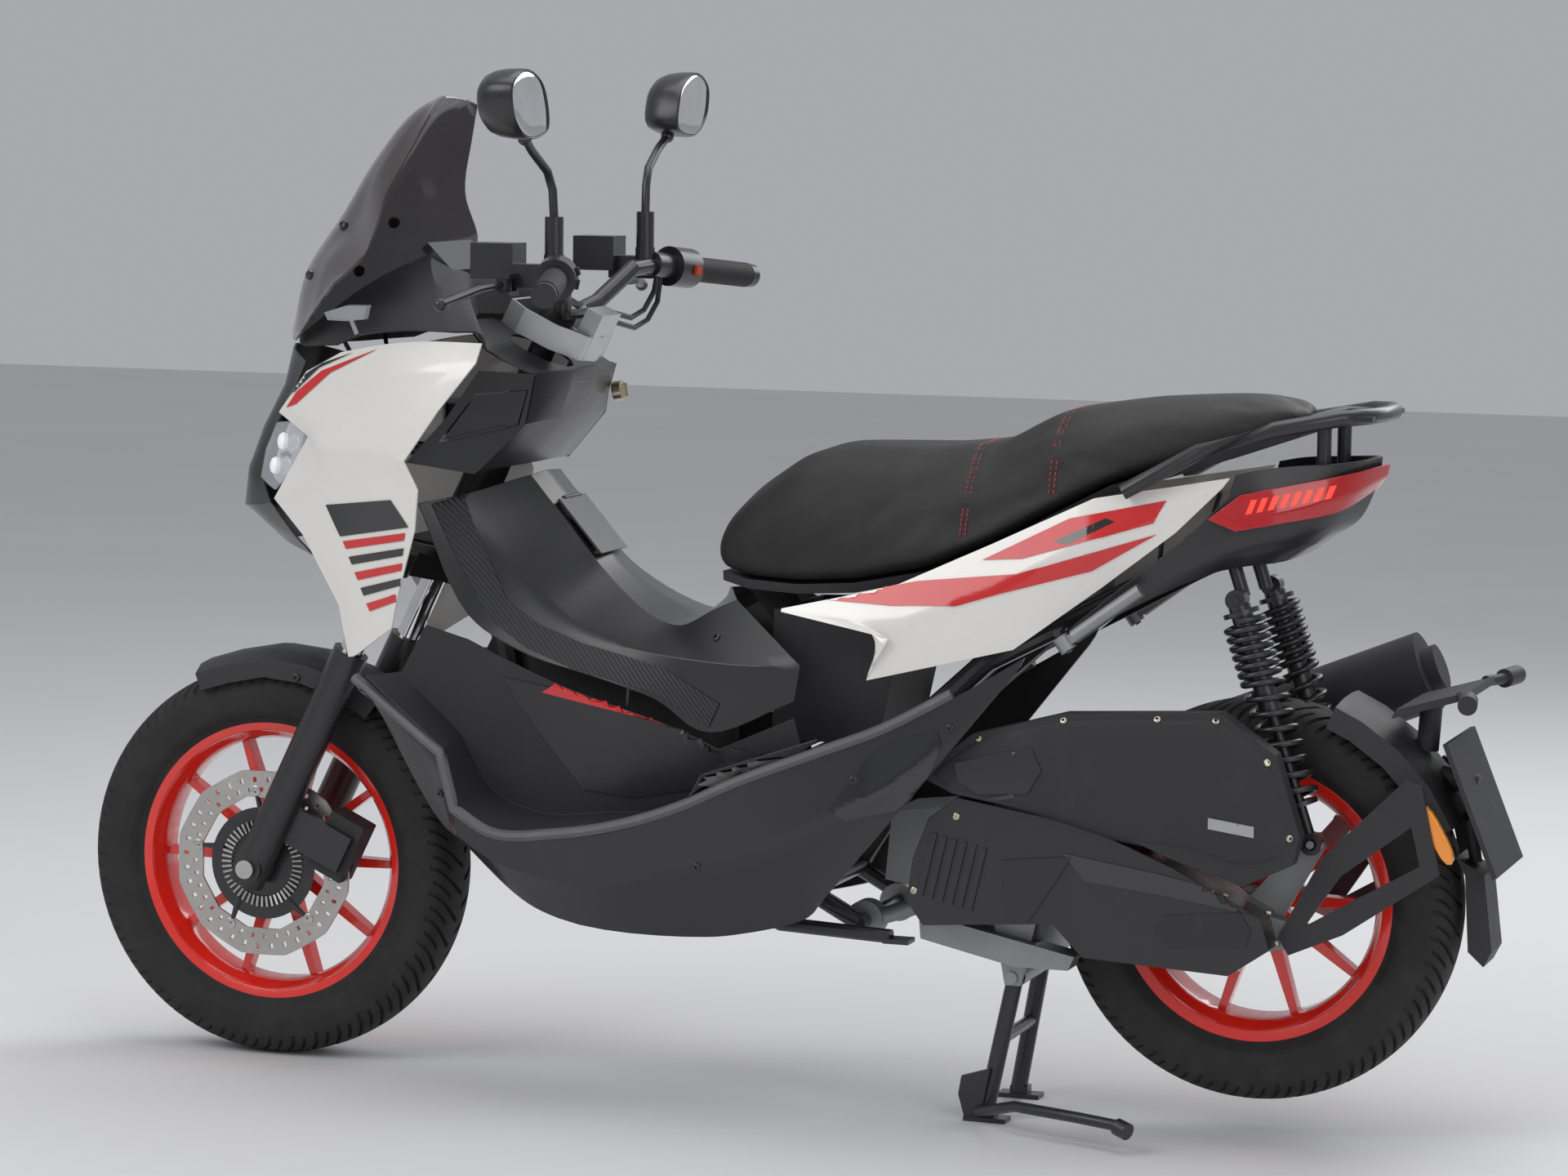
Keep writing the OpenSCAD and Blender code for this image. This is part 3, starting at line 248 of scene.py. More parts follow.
def moulded(name, base, roughness, grain=1500.0, depth=0.00012, patchy=0.16, **surface):
    """Plastic, rubber or paint with grain, slight colour drift and rubbed patches."""
    finish = Finish(name, **surface)
    cloud = finish.noise(7.0, 5.0)
    fine = finish.noise(grain, 2.0)
    rubbed = finish.noise(38.0, 6.0, (1.0, 1.0, 0.35)).step(0.52, 0.78)
    drift = finish.mix(cloud, tint(base, 1.0 - patchy), tint(base, 1.0 + patchy))
    finish.set("Base Color", finish.mix(rubbed * 0.35, drift, tint(base, 1.0 + 2.2 * patchy)))
    finish.set("Roughness", roughness + (cloud - 0.5) * 0.14 + (fine - 0.5) * 0.10 - rubbed * 0.05)
    if depth:
        finish.bump(fine, depth)
    return finish


def ribbed(name, base, roughness, pitch, turn, depth=0.0007):
    """Plastic with fine parallel ribs, pitch apart, leaning by turn degrees in side view, with
    painted shade in the grooves and painted highlights on the crests.
    """
    finish = moulded(name, base, roughness, depth=0.0)
    lean = math.radians(turn)
    run = finish.x * math.cos(lean) + finish.z * math.sin(lean)
    ribs = (run * (2.0 * math.pi / pitch)).wave()
    finish.bump(ribs * 0.9 + finish.noise(1800.0, 2.0) * 0.12, depth)
    # painted shade and highlight: the colour darkens in each rib groove and lightens on each crest
    finish.set("Base Color", finish.mix(ribs, tint(base, 0.45), tint(base, 1.5)))
    return finish


def metal(name, base, roughness, stretch=(1.0, 1.0, 1.0), grain=900.0, depth=0.00004, **surface):
    """Bare metal with brushing along the short sides of stretch."""
    finish = Finish(name, Metallic=1.0, **surface)
    brushed = finish.noise(grain, 3.0, stretch)
    stain = finish.noise(16.0, 6.0)
    finish.set("Base Color", finish.mix(stain, tint(base, 0.74), tint(base, 1.14)))
    finish.set("Roughness", roughness + (stain - 0.5) * 0.18 + (brushed - 0.5) * 0.14)
    finish.bump(brushed, depth)
    return finish


def lens(name, base, alpha, roughness=0.05, **surface):
    """A clear or tinted plastic lens with fine dust."""
    finish = Finish(name, Coat_Weight=1.0, Coat_Roughness=0.03, Specular_IOR_Level=0.6, **surface)
    dust = finish.noise(260.0, 6.0).step(0.62, 0.86)
    haze = finish.noise(6.0, 4.0)
    finish.set("Base Color", finish.mix(dust * 0.3, base, tint(base, 1.8)))
    finish.set("Roughness", roughness + dust * 0.12 + haze * 0.04)
    finish.set("Alpha", alpha + dust * 0.04 + haze * 0.03)
    return finish


CHROME, MIRROR_SILVER = (0.80, 0.80, 0.82), (0.83, 0.84, 0.85)
CLEAR, LED_WHITE = (0.82, 0.86, 0.90), (0.80, 0.82, 0.85)
DISPLAY_DARK, DISPLAY_PALE = (0.010, 0.010, 0.013), (0.030, 0.032, 0.038)
LED_RED, THREAD_RED, BUTTON_RED = (0.9, 0.05, 0.03), (0.42, 0.035, 0.045), (0.50, 0.05, 0.02)
TANK_BLACK = (0.026, 0.026, 0.028)


def make_finishes(c):
    """Every finish of the scooter, by name."""
    pearl = moulded("pearl_white", c.white, 0.27, grain=2600.0, depth=0.00002, patchy=0.025,
                    Coat_Weight=0.85, Coat_Roughness=0.07)
    flake = pearl.cells(1500.0, "F1")
    pearl.set("Metallic", flake.step(0.0, 0.4) * 0.06)
    moulded("satin_black", c.satin, 0.34, grain=1700.0, depth=0.00006, Coat_Weight=0.3,
            Coat_Roughness=0.24)
    moulded("dark_trim", c.trim, 0.54, grain=1300.0, depth=0.00022)
    moulded("edge_strip", c.strip, 0.46, depth=0.00015)
    moulded("gloss_black", c.gloss, 0.09, grain=900.0, depth=0.00001, Coat_Weight=1.0,
            Coat_Roughness=0.04)
    ribbed("ribbed_trim", c.trim, 0.50, pitch=0.0052, turn=42.0)
    moulded("signal_red", c.red, 0.22, grain=2000.0, depth=0.00002, patchy=0.05,
            Coat_Weight=0.8, Coat_Roughness=0.1)
    moulded("rim_red", c.rim, 0.24, grain=2400.0, depth=0.00004, patchy=0.06,
            Coat_Weight=0.9, Coat_Roughness=0.08)
    moulded("black_metal", c.satin, 0.36, grain=2200.0, depth=0.00005, Coat_Weight=0.35,
            Coat_Roughness=0.2)
    moulded("matt_black", c.trim, 0.66, grain=1100.0, depth=0.00035)
    moulded("rubber", tint(c.tyre, 0.8), 0.68, depth=0.0002)
    moulded("silver_plastic", c.silver, 0.36, grain=3000.0, depth=0.00002, patchy=0.06,
            Metallic=0.85, Coat_Weight=0.5, Coat_Roughness=0.15)
    metal("steel", c.metal, 0.30, stretch=(1.0, 9.0, 1.0))
    metal("chrome", CHROME, 0.08, depth=0.000004)
    metal("zinc", c.zinc, 0.30)
    metal("cast_alloy", c.cast, 0.52, grain=1200.0, depth=0.0003)
    metal("mirror_glass", MIRROR_SILVER, 0.015, grain=300.0, depth=0.0)
    lens("smoke_screen", c.smoke, alpha=0.70)
    lens("clear_lens", CLEAR, alpha=0.22)
    lens("red_lens", c.lamp, alpha=0.72, roughness=0.08)
    lens("amber_lens", c.amber, alpha=0.96, roughness=0.16)
    display = lens("display", DISPLAY_DARK, alpha=0.97, roughness=0.07)
    rows = (display.z * 900.0).wave()
    display.set("Base Color", display.mix(rows * 0.25, DISPLAY_DARK, DISPLAY_PALE))
    moulded("led_white", LED_WHITE, 0.2, Emission_Color=(0.9, 0.95, 1.0, 1.0),
            Emission_Strength=0.25)
    moulded("led_red", LED_RED, 0.2, Emission_Color=(1.0, 0.05, 0.03, 1.0),
            Emission_Strength=0.9)
    moulded("red_thread", THREAD_RED, 0.62, grain=5000.0, depth=0.0001)
    moulded("button_red", BUTTON_RED, 0.42)
    moulded("tank_plastic", TANK_BLACK, 0.6)
    tyre_finish(c)
    seat_finish(c)
    disc_finish()
    floor_finish(c)


def tyre_finish(c):
    """Tyre rubber with random dusty patches and a fine grain."""
    finish = Finish("tyre", Specular_IOR_Level=0.35)
    dust = finish.noise(30.0, 7.0).step(0.38, 0.8)
    grain = finish.noise(1400.0, 3.0)
    finish.set("Base Color", finish.mix(dust * 0.5, c.tyre, (0.050, 0.048, 0.046)))
    finish.set("Roughness", 0.70 + dust * 0.14 + (grain - 0.5) * 0.1)
    finish.bump(grain * 0.6 + dust * 0.4, 0.00035)


def seat_finish(c):
    """Black vinyl with a fine pebble grain and soft wear."""
    finish = Finish("seat_vinyl", Specular_IOR_Level=0.5)
    pebble = finish.cells(620.0).step(0.0, 0.22)
    pore = finish.noise(2400.0, 2.0)
    rubbed = finish.noise(8.0, 5.0).step(0.45, 0.8)
    finish.set("Base Color", finish.mix(rubbed, tint(c.cover, 0.85), tint(c.cover, 1.35)))
    finish.set("Roughness", 0.50 - rubbed * 0.08 + (1 - pebble) * 0.16)
    finish.bump(pebble * 0.8 + pore * 0.2, 0.00016)


def disc_finish():
    """Turned brake steel: rings round the front axle with soft stains."""
    finish = Finish("disc_steel", Metallic=1.0)
    low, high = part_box("front_disc")
    middle = (low + high) / 2
    across, up = finish.x - middle.x, finish.z - middle.z
    radius = finish.math("SQRT", across * across + up * up)
    rings = (radius * 5200.0).wave()
    stain = finish.noise(26.0, 6.0)
    finish.set("Base Color", finish.mix(stain, (0.40, 0.39, 0.37), (0.60, 0.585, 0.56)))
    finish.set("Roughness", 0.30 + stain * 0.14 + rings * 0.06)
    finish.bump(rings, 0.00003)


def floor_finish(c):
    """Pale studio floor with a faint matt texture."""
    finish = Finish("studio_floor", Specular_IOR_Level=0.25)
    cloud = finish.noise(1.4, 5.0)
    fine = finish.noise(420.0, 2.0)
    finish.set("Base Color", finish.mix(cloud, tint(c.floor, 0.955), tint(c.floor, 1.03)))
    finish.set("Roughness", 0.72 + (fine - 0.5) * 0.08)
    finish.bump(fine, 0.0001)


# ---------- mesh helpers ----------
def piece(name, mesh, body, finish, nodes=(), smooth=35.0, bevel=0.0):
    """A finished object from a bmesh that rides on a body and may stand for CAD nodes."""
    data = bpy.data.meshes.new(name)
    mesh.to_mesh(data)
    mesh.free()
    data.polygons.foreach_set("use_smooth", [True] * len(data.polygons))
    data.set_sharp_from_angle(angle=math.radians(smooth))
    thing = bpy.data.objects.new(name, data)
    bpy.context.scene.collection.objects.link(thing)
    data.materials.append(FINISHES[finish])
    if bevel:
        round_edges(thing, bevel)
    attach(thing, body)
    if nodes:
        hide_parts(*nodes)
    PIECES[name] = thing
    return thing


def round_edges(thing, width, weld=False):
    """Rounds the sharp edges of a piece with modifiers."""
    if weld:
        thing.modifiers.new("weld", "WELD").merge_threshold = 0.01 * MM
    bevel = thing.modifiers.new("bevel", "BEVEL")
    bevel.width = width
    bevel.segments = 2
    bevel.limit_method = "ANGLE"
    bevel.angle_limit = math.radians(32.0)
    bevel.harden_normals = not weld
    bevel.miter_outer = "MITER_ARC"
    if weld:
        thing.modifiers.new("even", "WEIGHTED_NORMAL").weight = 50


def spline(points, steps, breaks=()):
    """Points along smooth curves through the first axis; a crease stays at each break."""
    p = np.asarray(points, float)
    gaps = np.linalg.norm(np.diff(p, axis=0), axis=-1).reshape(len(p) - 1, -1).mean(1) + 1e-9
    slopes = np.diff(p, axis=0) / gaps.reshape((-1,) + (1,) * (p.ndim - 1))

    def tangent(i, arriving):
        if i in (0, len(p) - 1):
            return slopes[min(i, len(p) - 2)]
        if i in breaks:
            return slopes[i - 1] if arriving else slopes[i]
        return (slopes[i - 1] * gaps[i] + slopes[i] * gaps[i - 1]) / (gaps[i - 1] + gaps[i])

    rows = []
    for i, gap in enumerate(gaps):
        for t in np.linspace(0.0, 1.0, steps, endpoint=False):
            start = (2 * t**3 - 3 * t**2 + 1) * p[i] + (t**3 - 2 * t**2 + t) * gap * tangent(i, False)
            end = (3 * t**2 - 2 * t**3) * p[i + 1] + (t**3 - t**2) * gap * tangent(i + 1, True)
            rows.append(start + end)
    return np.array(rows + [p[-1]])


def weave(mesh, rows, flip=False, closed=False):
    """Faces between rows of points."""
    lines = [[mesh.verts.new(p) for p in row] for row in rows]
    if closed:
        lines.append(lines[0])
    for a, b in zip(lines, lines[1:]):
        for i in range(len(a) - 1):
            loop = (a[i], a[i + 1], b[i + 1], b[i])
            mesh.faces.new(loop[::-1] if flip else loop)
    return lines


def cut_hole(mesh, centre, tilt, half):
    """Takes a box-shaped opening out of a surface; the box is turned by tilt about Y."""
    turn = Matrix.Rotation(math.radians(tilt), 3, "Y")
    centre = Vector(centre) * MM
    axes = [turn @ Vector(row) for row in Matrix.Identity(3)]

    def within(spot, slack):
        return all(abs((spot - centre).dot(a)) < h * MM + slack for a, h in zip(axes, half))

    for axis, size in zip(axes[:2], half):
        for side in (-1, 1):
            near = [f for f in mesh.faces if within(f.calc_center_median(), 0.03)]
            parts = {e for f in near for e in f.edges} | {v for f in near for v in f.verts}
            bmesh.ops.bisect_plane(mesh, geom=list(parts) + near, dist=0.001 * MM,
                                   plane_co=centre + axis * side * size * MM, plane_no=axis)
    gone = [f for f in mesh.faces if within(f.calc_center_median(), 0.0)]
    bmesh.ops.delete(mesh, geom=gone, context="FACES")


def panel(name, rows, toward, finish, nodes=(), wall=3.0, creases=(), folds=(),
          hole=None):
    """A moulded panel and its mirror image through rows of points in millimetres."""
    grid = spline(np.array(rows, float) * MM, PANEL_STEPS, creases)
    grid = spline(grid.swapaxes(0, 1), PANEL_STEPS, folds).swapaxes(0, 1)
    mesh = bmesh.new()
    for side in (LEFT, RIGHT):
        weave(mesh, grid * (1, side, 1), side == RIGHT)
    bmesh.ops.remove_doubles(mesh, verts=mesh.verts, dist=0.02 * MM)
    mesh.normal_update()
    lean = sum((f.normal * f.calc_area()).dot(Vector(toward)) for f in mesh.faces
               if f.calc_center_median().y < 0)
    if lean < 0:
        bmesh.ops.reverse_faces(mesh, faces=mesh.faces)
    if hole:
        cut_hole(mesh, *hole)
    thing = piece(name, mesh, "chassis", finish, nodes, 30.0)
    shell = thing.modifiers.new("wall", "SOLIDIFY")
    shell.thickness = wall * MM
    shell.offset = -1.0
    round_edges(thing, bpy.context.scene.scooter_sizes.edge)
    return thing


class Skin:
    """The outside of some objects, to lay details on."""

    def __init__(self, *things):
        graph = bpy.context.evaluated_depsgraph_get()
        points, faces = [], []
        for thing in things:
            solid = thing.evaluated_get(graph)
            data = solid.to_mesh()
            start = len(points)
            points += [thing.matrix_world @ v.co for v in data.vertices]
            faces += [[start + i for i in p.vertices] for p in data.polygons]
            solid.to_mesh_clear()
        self.tree = BVHTree.FromPolygons(points, faces)

    def hit(self, point, heading):
        """The first place met from far outside along heading, and its outward normal."""
        heading = Vector(heading).normalized()
        spot, normal, _, _ = self.tree.ray_cast(Vector(point) - heading * 1.5, heading)
        if spot is None:
            spot, normal, _, _ = self.tree.find_nearest(Vector(point))
        return spot, (normal if normal.dot(heading) < 0 else -normal)


def shown(*names):
    """CAD objects or pieces by name."""
    return [PIECES.get(n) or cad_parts[n] for n in names]


def fill_outline(points, cell):
    """A flat filled outline of (x, z) points in millimetres, cut into cells."""
    mesh = bmesh.new()
    mesh.faces.new([mesh.verts.new((x * MM, 0, z * MM)) for x, z in points])
    for axis in (0, 2):
        values = [v.co[axis] for v in mesh.verts]
        start, run = min(values), max(values) - min(values)
        normal = Vector((0, 0, 0))
        normal[axis] = 1.0
        cuts = int(run / cell)
        for k in range(1, cuts + 1):
            bmesh.ops.bisect_plane(mesh, geom=mesh.verts[:] + mesh.edges[:] + mesh.faces[:],
                                   dist=0.001 * MM, plane_no=normal,
                                   plane_co=normal * (start + k * run / (cuts + 1)))
    bmesh.ops.triangulate(mesh, faces=mesh.faces)
    return mesh


def lay(name, outlines, skin, body, finish, thick=None, lift=None, sides=(LEFT, RIGHT),
        bevel=0.0):
    """Thin plates of the given outlines, laid on a skin on each side."""
    sizes = bpy.context.scene.scooter_sizes
    thick = sizes.decal if thick is None else thick * MM
    lift = sizes.lift if lift is None else lift * MM
    whole = bmesh.new()
    for side in sides:
        for points in outlines:
            part = fill_outline(points, sizes.cell)
            places = {}
            for v in part.verts:
                found, normal = skin.hit((v.co.x, NEAR_SIDE * side, v.co.z), (0, side, 0))
                places[v] = (found + normal * lift, found + normal * (lift + thick))
            under = {v: whole.verts.new(p[0]) for v, p in places.items()}
            over = {v: whole.verts.new(p[1]) for v, p in places.items()}
            for f in part.faces:
                whole.faces.new([over[v] for v in f.verts])
                whole.faces.new([under[v] for v in reversed(f.verts)])
            for e in part.edges:
                if len(e.link_faces) == 1:
                    a, b = e.verts
                    whole.faces.new((under[a], under[b], over[b], over[a]))
            part.free()
    bmesh.ops.recalc_face_normals(whole, faces=whole.faces)
    return piece(name, whole, body, finish, bevel=bevel * MM)


def band(points, width):
    """The outline of a strip of a width, to one side of a line of points."""
    line = np.array(points, float)
    runs = np.diff(line, axis=0)
    normals = np.stack([-runs[:, 1], runs[:, 0]], 1) / np.linalg.norm(runs, axis=1)[:, None]
    ends = np.vstack([normals[:1], normals[:-1] + normals[1:], normals[-1:]])
    ends /= np.linalg.norm(ends, axis=1)[:, None]
    far = line + ends * width
    return [tuple(p) for p in line] + [tuple(p) for p in far[::-1]]


def loft(mesh, rings):
    """Faces between closed rings of points, with both ends closed."""
    lines = [[mesh.verts.new(p) for p in ring] for ring in rings]
    for a, b in zip(lines, lines[1:]):
        for k in range(len(a)):
            after = (k + 1) % len(a)
            mesh.faces.new((a[k], a[after], b[after], b[k]))
    mesh.faces.new(lines[0])
    mesh.faces.new(lines[-1])


def turns_of(number):
    """Evenly spread angles of one whole turn."""
    return [2 * math.pi * k / number for k in range(number)]


def tube(mesh, path, radius, sides=8):
    """A closed tube along points, in metres; radius may change along it."""
    path = [Vector(p) for p in path]
    radii = radius if hasattr(radius, "__len__") else [radius] * len(path)
    rings, up = [], path[1] - path[0]
    up = up.normalized().orthogonal().normalized()
    for i, (p, r) in enumerate(zip(path, radii)):
        way = (path[min(i + 1, len(path) - 1)] - path[max(i - 1, 0)]).normalized()
        up = (up - way * up.dot(way)).normalized()
        over = way.cross(up)
        rings.append([p + (up * math.cos(a) + over * math.sin(a)) * r for a in turns_of(sides)])
    loft(mesh, rings)


def lathe(mesh, profile, place, sides=24, shape=None):
    """A turned body of (radius, height) rings at a matrix; shape(angle, ring) scales radius."""
    rings = []
    for k, (radius, height) in enumerate(profile):
        ring = []
        for a in turns_of(sides):
            r = radius * (shape(a, k) if shape else 1.0)
            ring.append(place @ Vector((r * math.cos(a), r * math.sin(a), height)))
        rings.append(ring)
    loft(mesh, rings)


def pointing(place, axis):
    """A matrix that puts z along axis at a place."""
    return Matrix.Translation(place) @ Vector(axis).to_track_quat("Z", "Y").to_matrix().to_4x4()


# rings of a button-head screw, as shares of its radius
SCREW_HEAD = ((1.0, -0.3), (1.0, 0.15), (0.93, 0.38), (0.75, 0.52), (0.56, 0.56), (0.5, 0.55),
              (0.47, 0.12))
RECESS_FROM = 5


def screw(mesh, place, axis, radius):
    """A button-head socket screw, with a hexagon recess."""
    r = radius * MM
    flat = math.cos(math.pi / 6)

    def hexagon(angle, ring):
        turned = (angle % (math.pi / 3)) - math.pi / 6
        return flat / math.cos(turned) if ring >= RECESS_FROM else 1.0

    lathe(mesh, [(a * r, b * r) for a, b in SCREW_HEAD], pointing(place, axis), 12, hexagon)


def screws_on(name, body, finish, skin, spots, radius=5.0, sides=(LEFT, RIGHT), heading=(0, 1, 0)):
    """Screws set on a skin at (x, z) places seen from the side."""
    mesh = bmesh.new()
    for side in sides:
        for x, z in spots:
            toward = (heading[0], heading[1] * side, heading[2])
            spot, normal = skin.hit((x * MM, NEAR_SIDE * side, z * MM), toward)
            screw(mesh, spot, normal, radius)
    bmesh.ops.recalc_face_normals(mesh, faces=mesh.faces)
    return piece(name, mesh, body, finish, smooth=28.0)


# ---------- body panels: rows of points in millimetres, left side ----------
FRONT_PANEL = [
    [[-560, -128, 962], [-500, -145, 974], [-430, -166, 982], [-336, -190, 983]],
    [[-618, -110, 934], [-520, -150, 935], [-450, -178, 945], [-341, -199, 957]],
    [[-668, -88, 877], [-570, -140, 880], [-480, -178, 885], [-390, -206, 895]],
    [[-616, -108, 848], [-583, -145, 838], [-500, -182, 835], [-436, -210, 828]],
    [[-669, -100, 763], [-570, -150, 792], [-490, -182, 795], [-418, -205, 791]],
    [[-618, -120, 718], [-560, -150, 725], [-490, -174, 730], [-425, -198, 738]],
    [[-561, -132, 629], [-530, -150, 630], [-500, -163, 640], [-456, -180, 650]],
    [[-544, -138, 561], [-530, -145, 565], [-500, -156, 585], [-468, -172, 606]],
]
NOSE = [
    [[-684, 0, 965], [-665, -45, 960], [-630, -84, 946]],
    [[-691, 0, 915], [-680, -40, 912], [-652, -70, 908]],
    [[-727, 0, 853], [-712, -35, 855], [-682, -60, 862]],
    [[-751, 0, 797], [-735, -33, 795], [-706, -56, 786]],
    [[-757, 0, 744], [-730, -45, 748], [-678, -92, 756]],
    [[-721, 0, 722], [-700, -50, 724], [-634, -108, 714]],
    [[-690, 0, 700], [-670, -55, 702], [-606, -112, 690]],
]
SCREEN = [
    [[-688, 0, 981], [-658, -60, 972], [-603, -130, 1008], [-548, -180, 1056]],
    [[-664, 0, 1063], [-642, -58, 1060], [-582, -125, 1078], [-522, -188, 1072]],
    [[-604, 0, 1141], [-592, -54, 1138], [-548, -110, 1126], [-497, -186, 1102]],
    [[-556, 0, 1218], [-546, -48, 1214], [-522, -92, 1200], [-494, -134, 1170]],
    [[-498, 0, 1282], [-492, -35, 1280], [-480, -62, 1270], [-466, -92, 1250]],
    [[-468, 0, 1298], [-464, -28, 1297], [-458, -50, 1294], [-452, -71, 1288]],
]
FLOOR = [
    [[-430, -146, 610], [-462, -150, 548], [-500, -180, 544]],
    [[-378, -128, 592], [-388, -132, 470], [-372, -222, 459]],
    [[-330, -126, 570], [-338, -126, 392], [-347, -236, 391]],
    [[-250, -132, 540], [-270, -122, 368], [-305, -241, 361]],
    [[-182, -136, 520], [-190, -120, 374], [-210, -241, 364]],
    [[-70, -144, 488], [-75, -122, 394], [-40, -241, 410]],
    [[-20, -156, 470], [0, -150, 440], [-15, -237, 449]],
    [[90, -184, 520], [100, -180, 480], [132, -214, 500]],
]
SKIRT = [
    [[-522, -168, 532], [-508, -178, 524], [-492, -176, 514]],
    [[-378, -222, 448], [-374, -223, 420], [-384, -196, 357]],
    [[-352, -237, 378], [-347, -235, 350], [-361, -190, 337]],
    [[-302, -241, 352], [-296, -237, 320], [-287, -188, 272]],
    [[-210, -241, 355], [-215, -235, 300], [-232, -172, 240]],
    [[-40, -241, 401], [-40, -233, 320], [-30, -172, 229]],
    [[20, -238, 430], [40, -231, 340], [22, -182, 238]],
    [[138, -220, 478], [125, -226, 385], [112, -188, 265]],
    [[208, -204, 506], [190, -212, 420], [132, -198, 286]],
    [[300, -192, 556], [282, -197, 486], [237, -200, 412]],
    [[392, -182, 612], [386, -183, 600], [378, -184, 588]],
]
REAR_PANEL = [
    [[66, -166, 657], [66, -167, 655], [66, -168, 653]],
    [[148, -166, 676], [165, -178, 650], [217, -188, 628]],
    [[221, -166, 695], [230, -180, 650], [186, -184, 573]],
    [[340, -160, 750], [345, -176, 690], [372, -166, 619]],
    [[469, -152, 812], [470, -166, 760], [480, -152, 700]],
    [[560, -140, 828], [560, -150, 800], [571, -142, 772]],
    [[636, -130, 842], [632, -132, 836], [628, -132, 830]],
]
TAIL = [
    [[800, 0, 866], [778, -60, 862], [690, -104, 855], [642, -124, 846]],
    [[798, 0, 840], [768, -64, 836], [690, -108, 822], [634, -126, 818]],
    [[776, 0, 790], [742, -66, 784], [680, -110, 775], [578, -136, 762]],
    [[736, 0, 760], [722, -62, 756], [620, -118, 738], [490, -146, 690]],
    [[712, 0, 742], [690, -60, 734], [600, -112, 716], [400, -152, 612]],
]
TAIL_LENS = [
    [[810, 0, 857], [775, -74, 848], [703, -111, 833], [649, -130, 821]],
    [[807, 0, 842], [771, -76, 820], [699, -117, 800], [611, -141, 790]],
    [[796, 0, 826], [761, -76, 800], [696, -117, 786], [645, -133, 776]],
]
TUNNEL = [
    [[-318, 0, 808], [-321, -54, 805], [-392, -118, 780], [-436, -160, 770]],
    [[-262, 0, 743.6], [-265, -54, 740], [-325, -112, 686], [-378, -130, 625]],
    [[-216, 0, 690.6], [-219, -54, 687], [-258, -120, 625], [-305, -134, 582]],
    [[-133, 0, 639], [-128, -92, 628], [-150, -134, 592], [-182, -144, 550]],
    [[-97, 0, 626], [-90, -105, 622], [-75, -152, 585], [-108, -154, 530]],
    [[-68, 0, 648], [-46, -112, 644], [15, -172, 582], [-30, -164, 492]],
    [[-60, 0, 664], [-10, -118, 660], [100, -190, 588], [92, -190, 542]],
]
DASH = [
    [[-678, 0, 974], [-640, -70, 966], [-566, -130, 972]],
    [[-630, 0, 1010], [-595, -85, 1005], [-528, -146, 986]],
    [[-560, 0, 1056], [-540, -95, 1040], [-470, -158, 994]],
    [[-500, 0, 1084], [-485, -100, 1066], [-425, -170, 996]],
    [[-466, 0, 1098], [-446, -98, 1080], [-385, -178, 996]],
    [[-430, 0, 1062], [-392, -104, 1046], [-345, -172, 994]],
    [[-418, 0, 1012], [-380, -108, 1004], [-338, -166, 975]],
]
LAMP = [
    [[-680, -66, 862], [-650, -85, 866], [-624, -98, 856]],
    [[-697, -64, 825], [-668, -86, 820], [-636, -98, 812]],
    [[-704, -64, 788], [-687, -80, 780], [-671, -92, 774]],
]
EVERY = tuple(range(1, 12))
# openings in a panel: centre, turn about Y in degrees, half sizes
FUEL_OPENING = ((-256, 0, 736.6), 49, (40.5, 42.5, 26))
DISPLAY_OPENING = ((-447, 0, 1084), 45, (25.6, 75.6, 30))


# ---------- finishes of the CAD nodes that stay ----------
PLAIN = "satin_black"
NODE_FINISH = {
    "frame": "black_metal", "front_lamps": "clear_lens", "instrument_cluster": "display",
    "fuel_tank": "tank_plastic", "grab_rail": "black_metal", "storage_bin": "tank_plastic",
    "fuel_cap": "tank_plastic",
    "ignition_switch": "zinc", "seat_base": "dark_trim", "left_pillion_peg": "cast_alloy",
    "right_pillion_peg": "cast_alloy", "side_stand": "black_metal", "fork_yoke": "black_metal",
    "fork_stanchions": "chrome", "handlebar": "black_metal", "bar_cover": "silver_plastic",
    "left_grip": "rubber", "throttle_grip": "rubber",
    "left_brake_lever": "black_metal", "right_brake_lever": "black_metal",
    "horn_button": "rubber", "indicator_switch": "rubber", "starter_button": "button_red",
    "fork_sliders": "black_metal",
    "front_fender": "dark_trim", "front_axle": "steel", "front_caliper": "matt_black",
    "front_rim": "rim_red", "rear_rim": "rim_red", "engine_case": "cast_alloy",
    "airbox": "matt_black",
    "exhaust": "matt_black", "rear_hugger": "dark_trim", "drive_pulley": "steel",
    "driven_pulley": "steel", "shock_bodies": "black_metal", "shock_rods": "black_metal",
    "centre_stand": "black_metal",
}
ROUNDED = ("leg_shield", "glovebox_door", "fuel_door", "grab_rail", "front_fender",
           "engine_case", "transmission_cover", "airbox", "exhaust", "bar_cover",
           "front_caliper", "bar_controls", "centre_stand", "front_rim", "rear_rim",
           "side_stand", "rear_hugger", "seat_base", "fork_sliders")


class SCOOTER_OT_finishes(bpy.types.Operator):
    """Makes the finishes and gives them to the CAD nodes that stay."""
    bl_idname = "scooter.finishes"
    bl_label = "Finishes"

    def execute(self, context):
        make_finishes(context.scene.scooter_colours)
        for node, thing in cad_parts.items():
            finish = FINISHES[NODE_FINISH.get(node, PLAIN)]
            thing.data.materials.clear()
            thing.data.materials.append(finish)
            if node in ROUNDED:
                round_edges(thing, context.scene.scooter_sizes.edge, True)
        return {"FINISHED"}


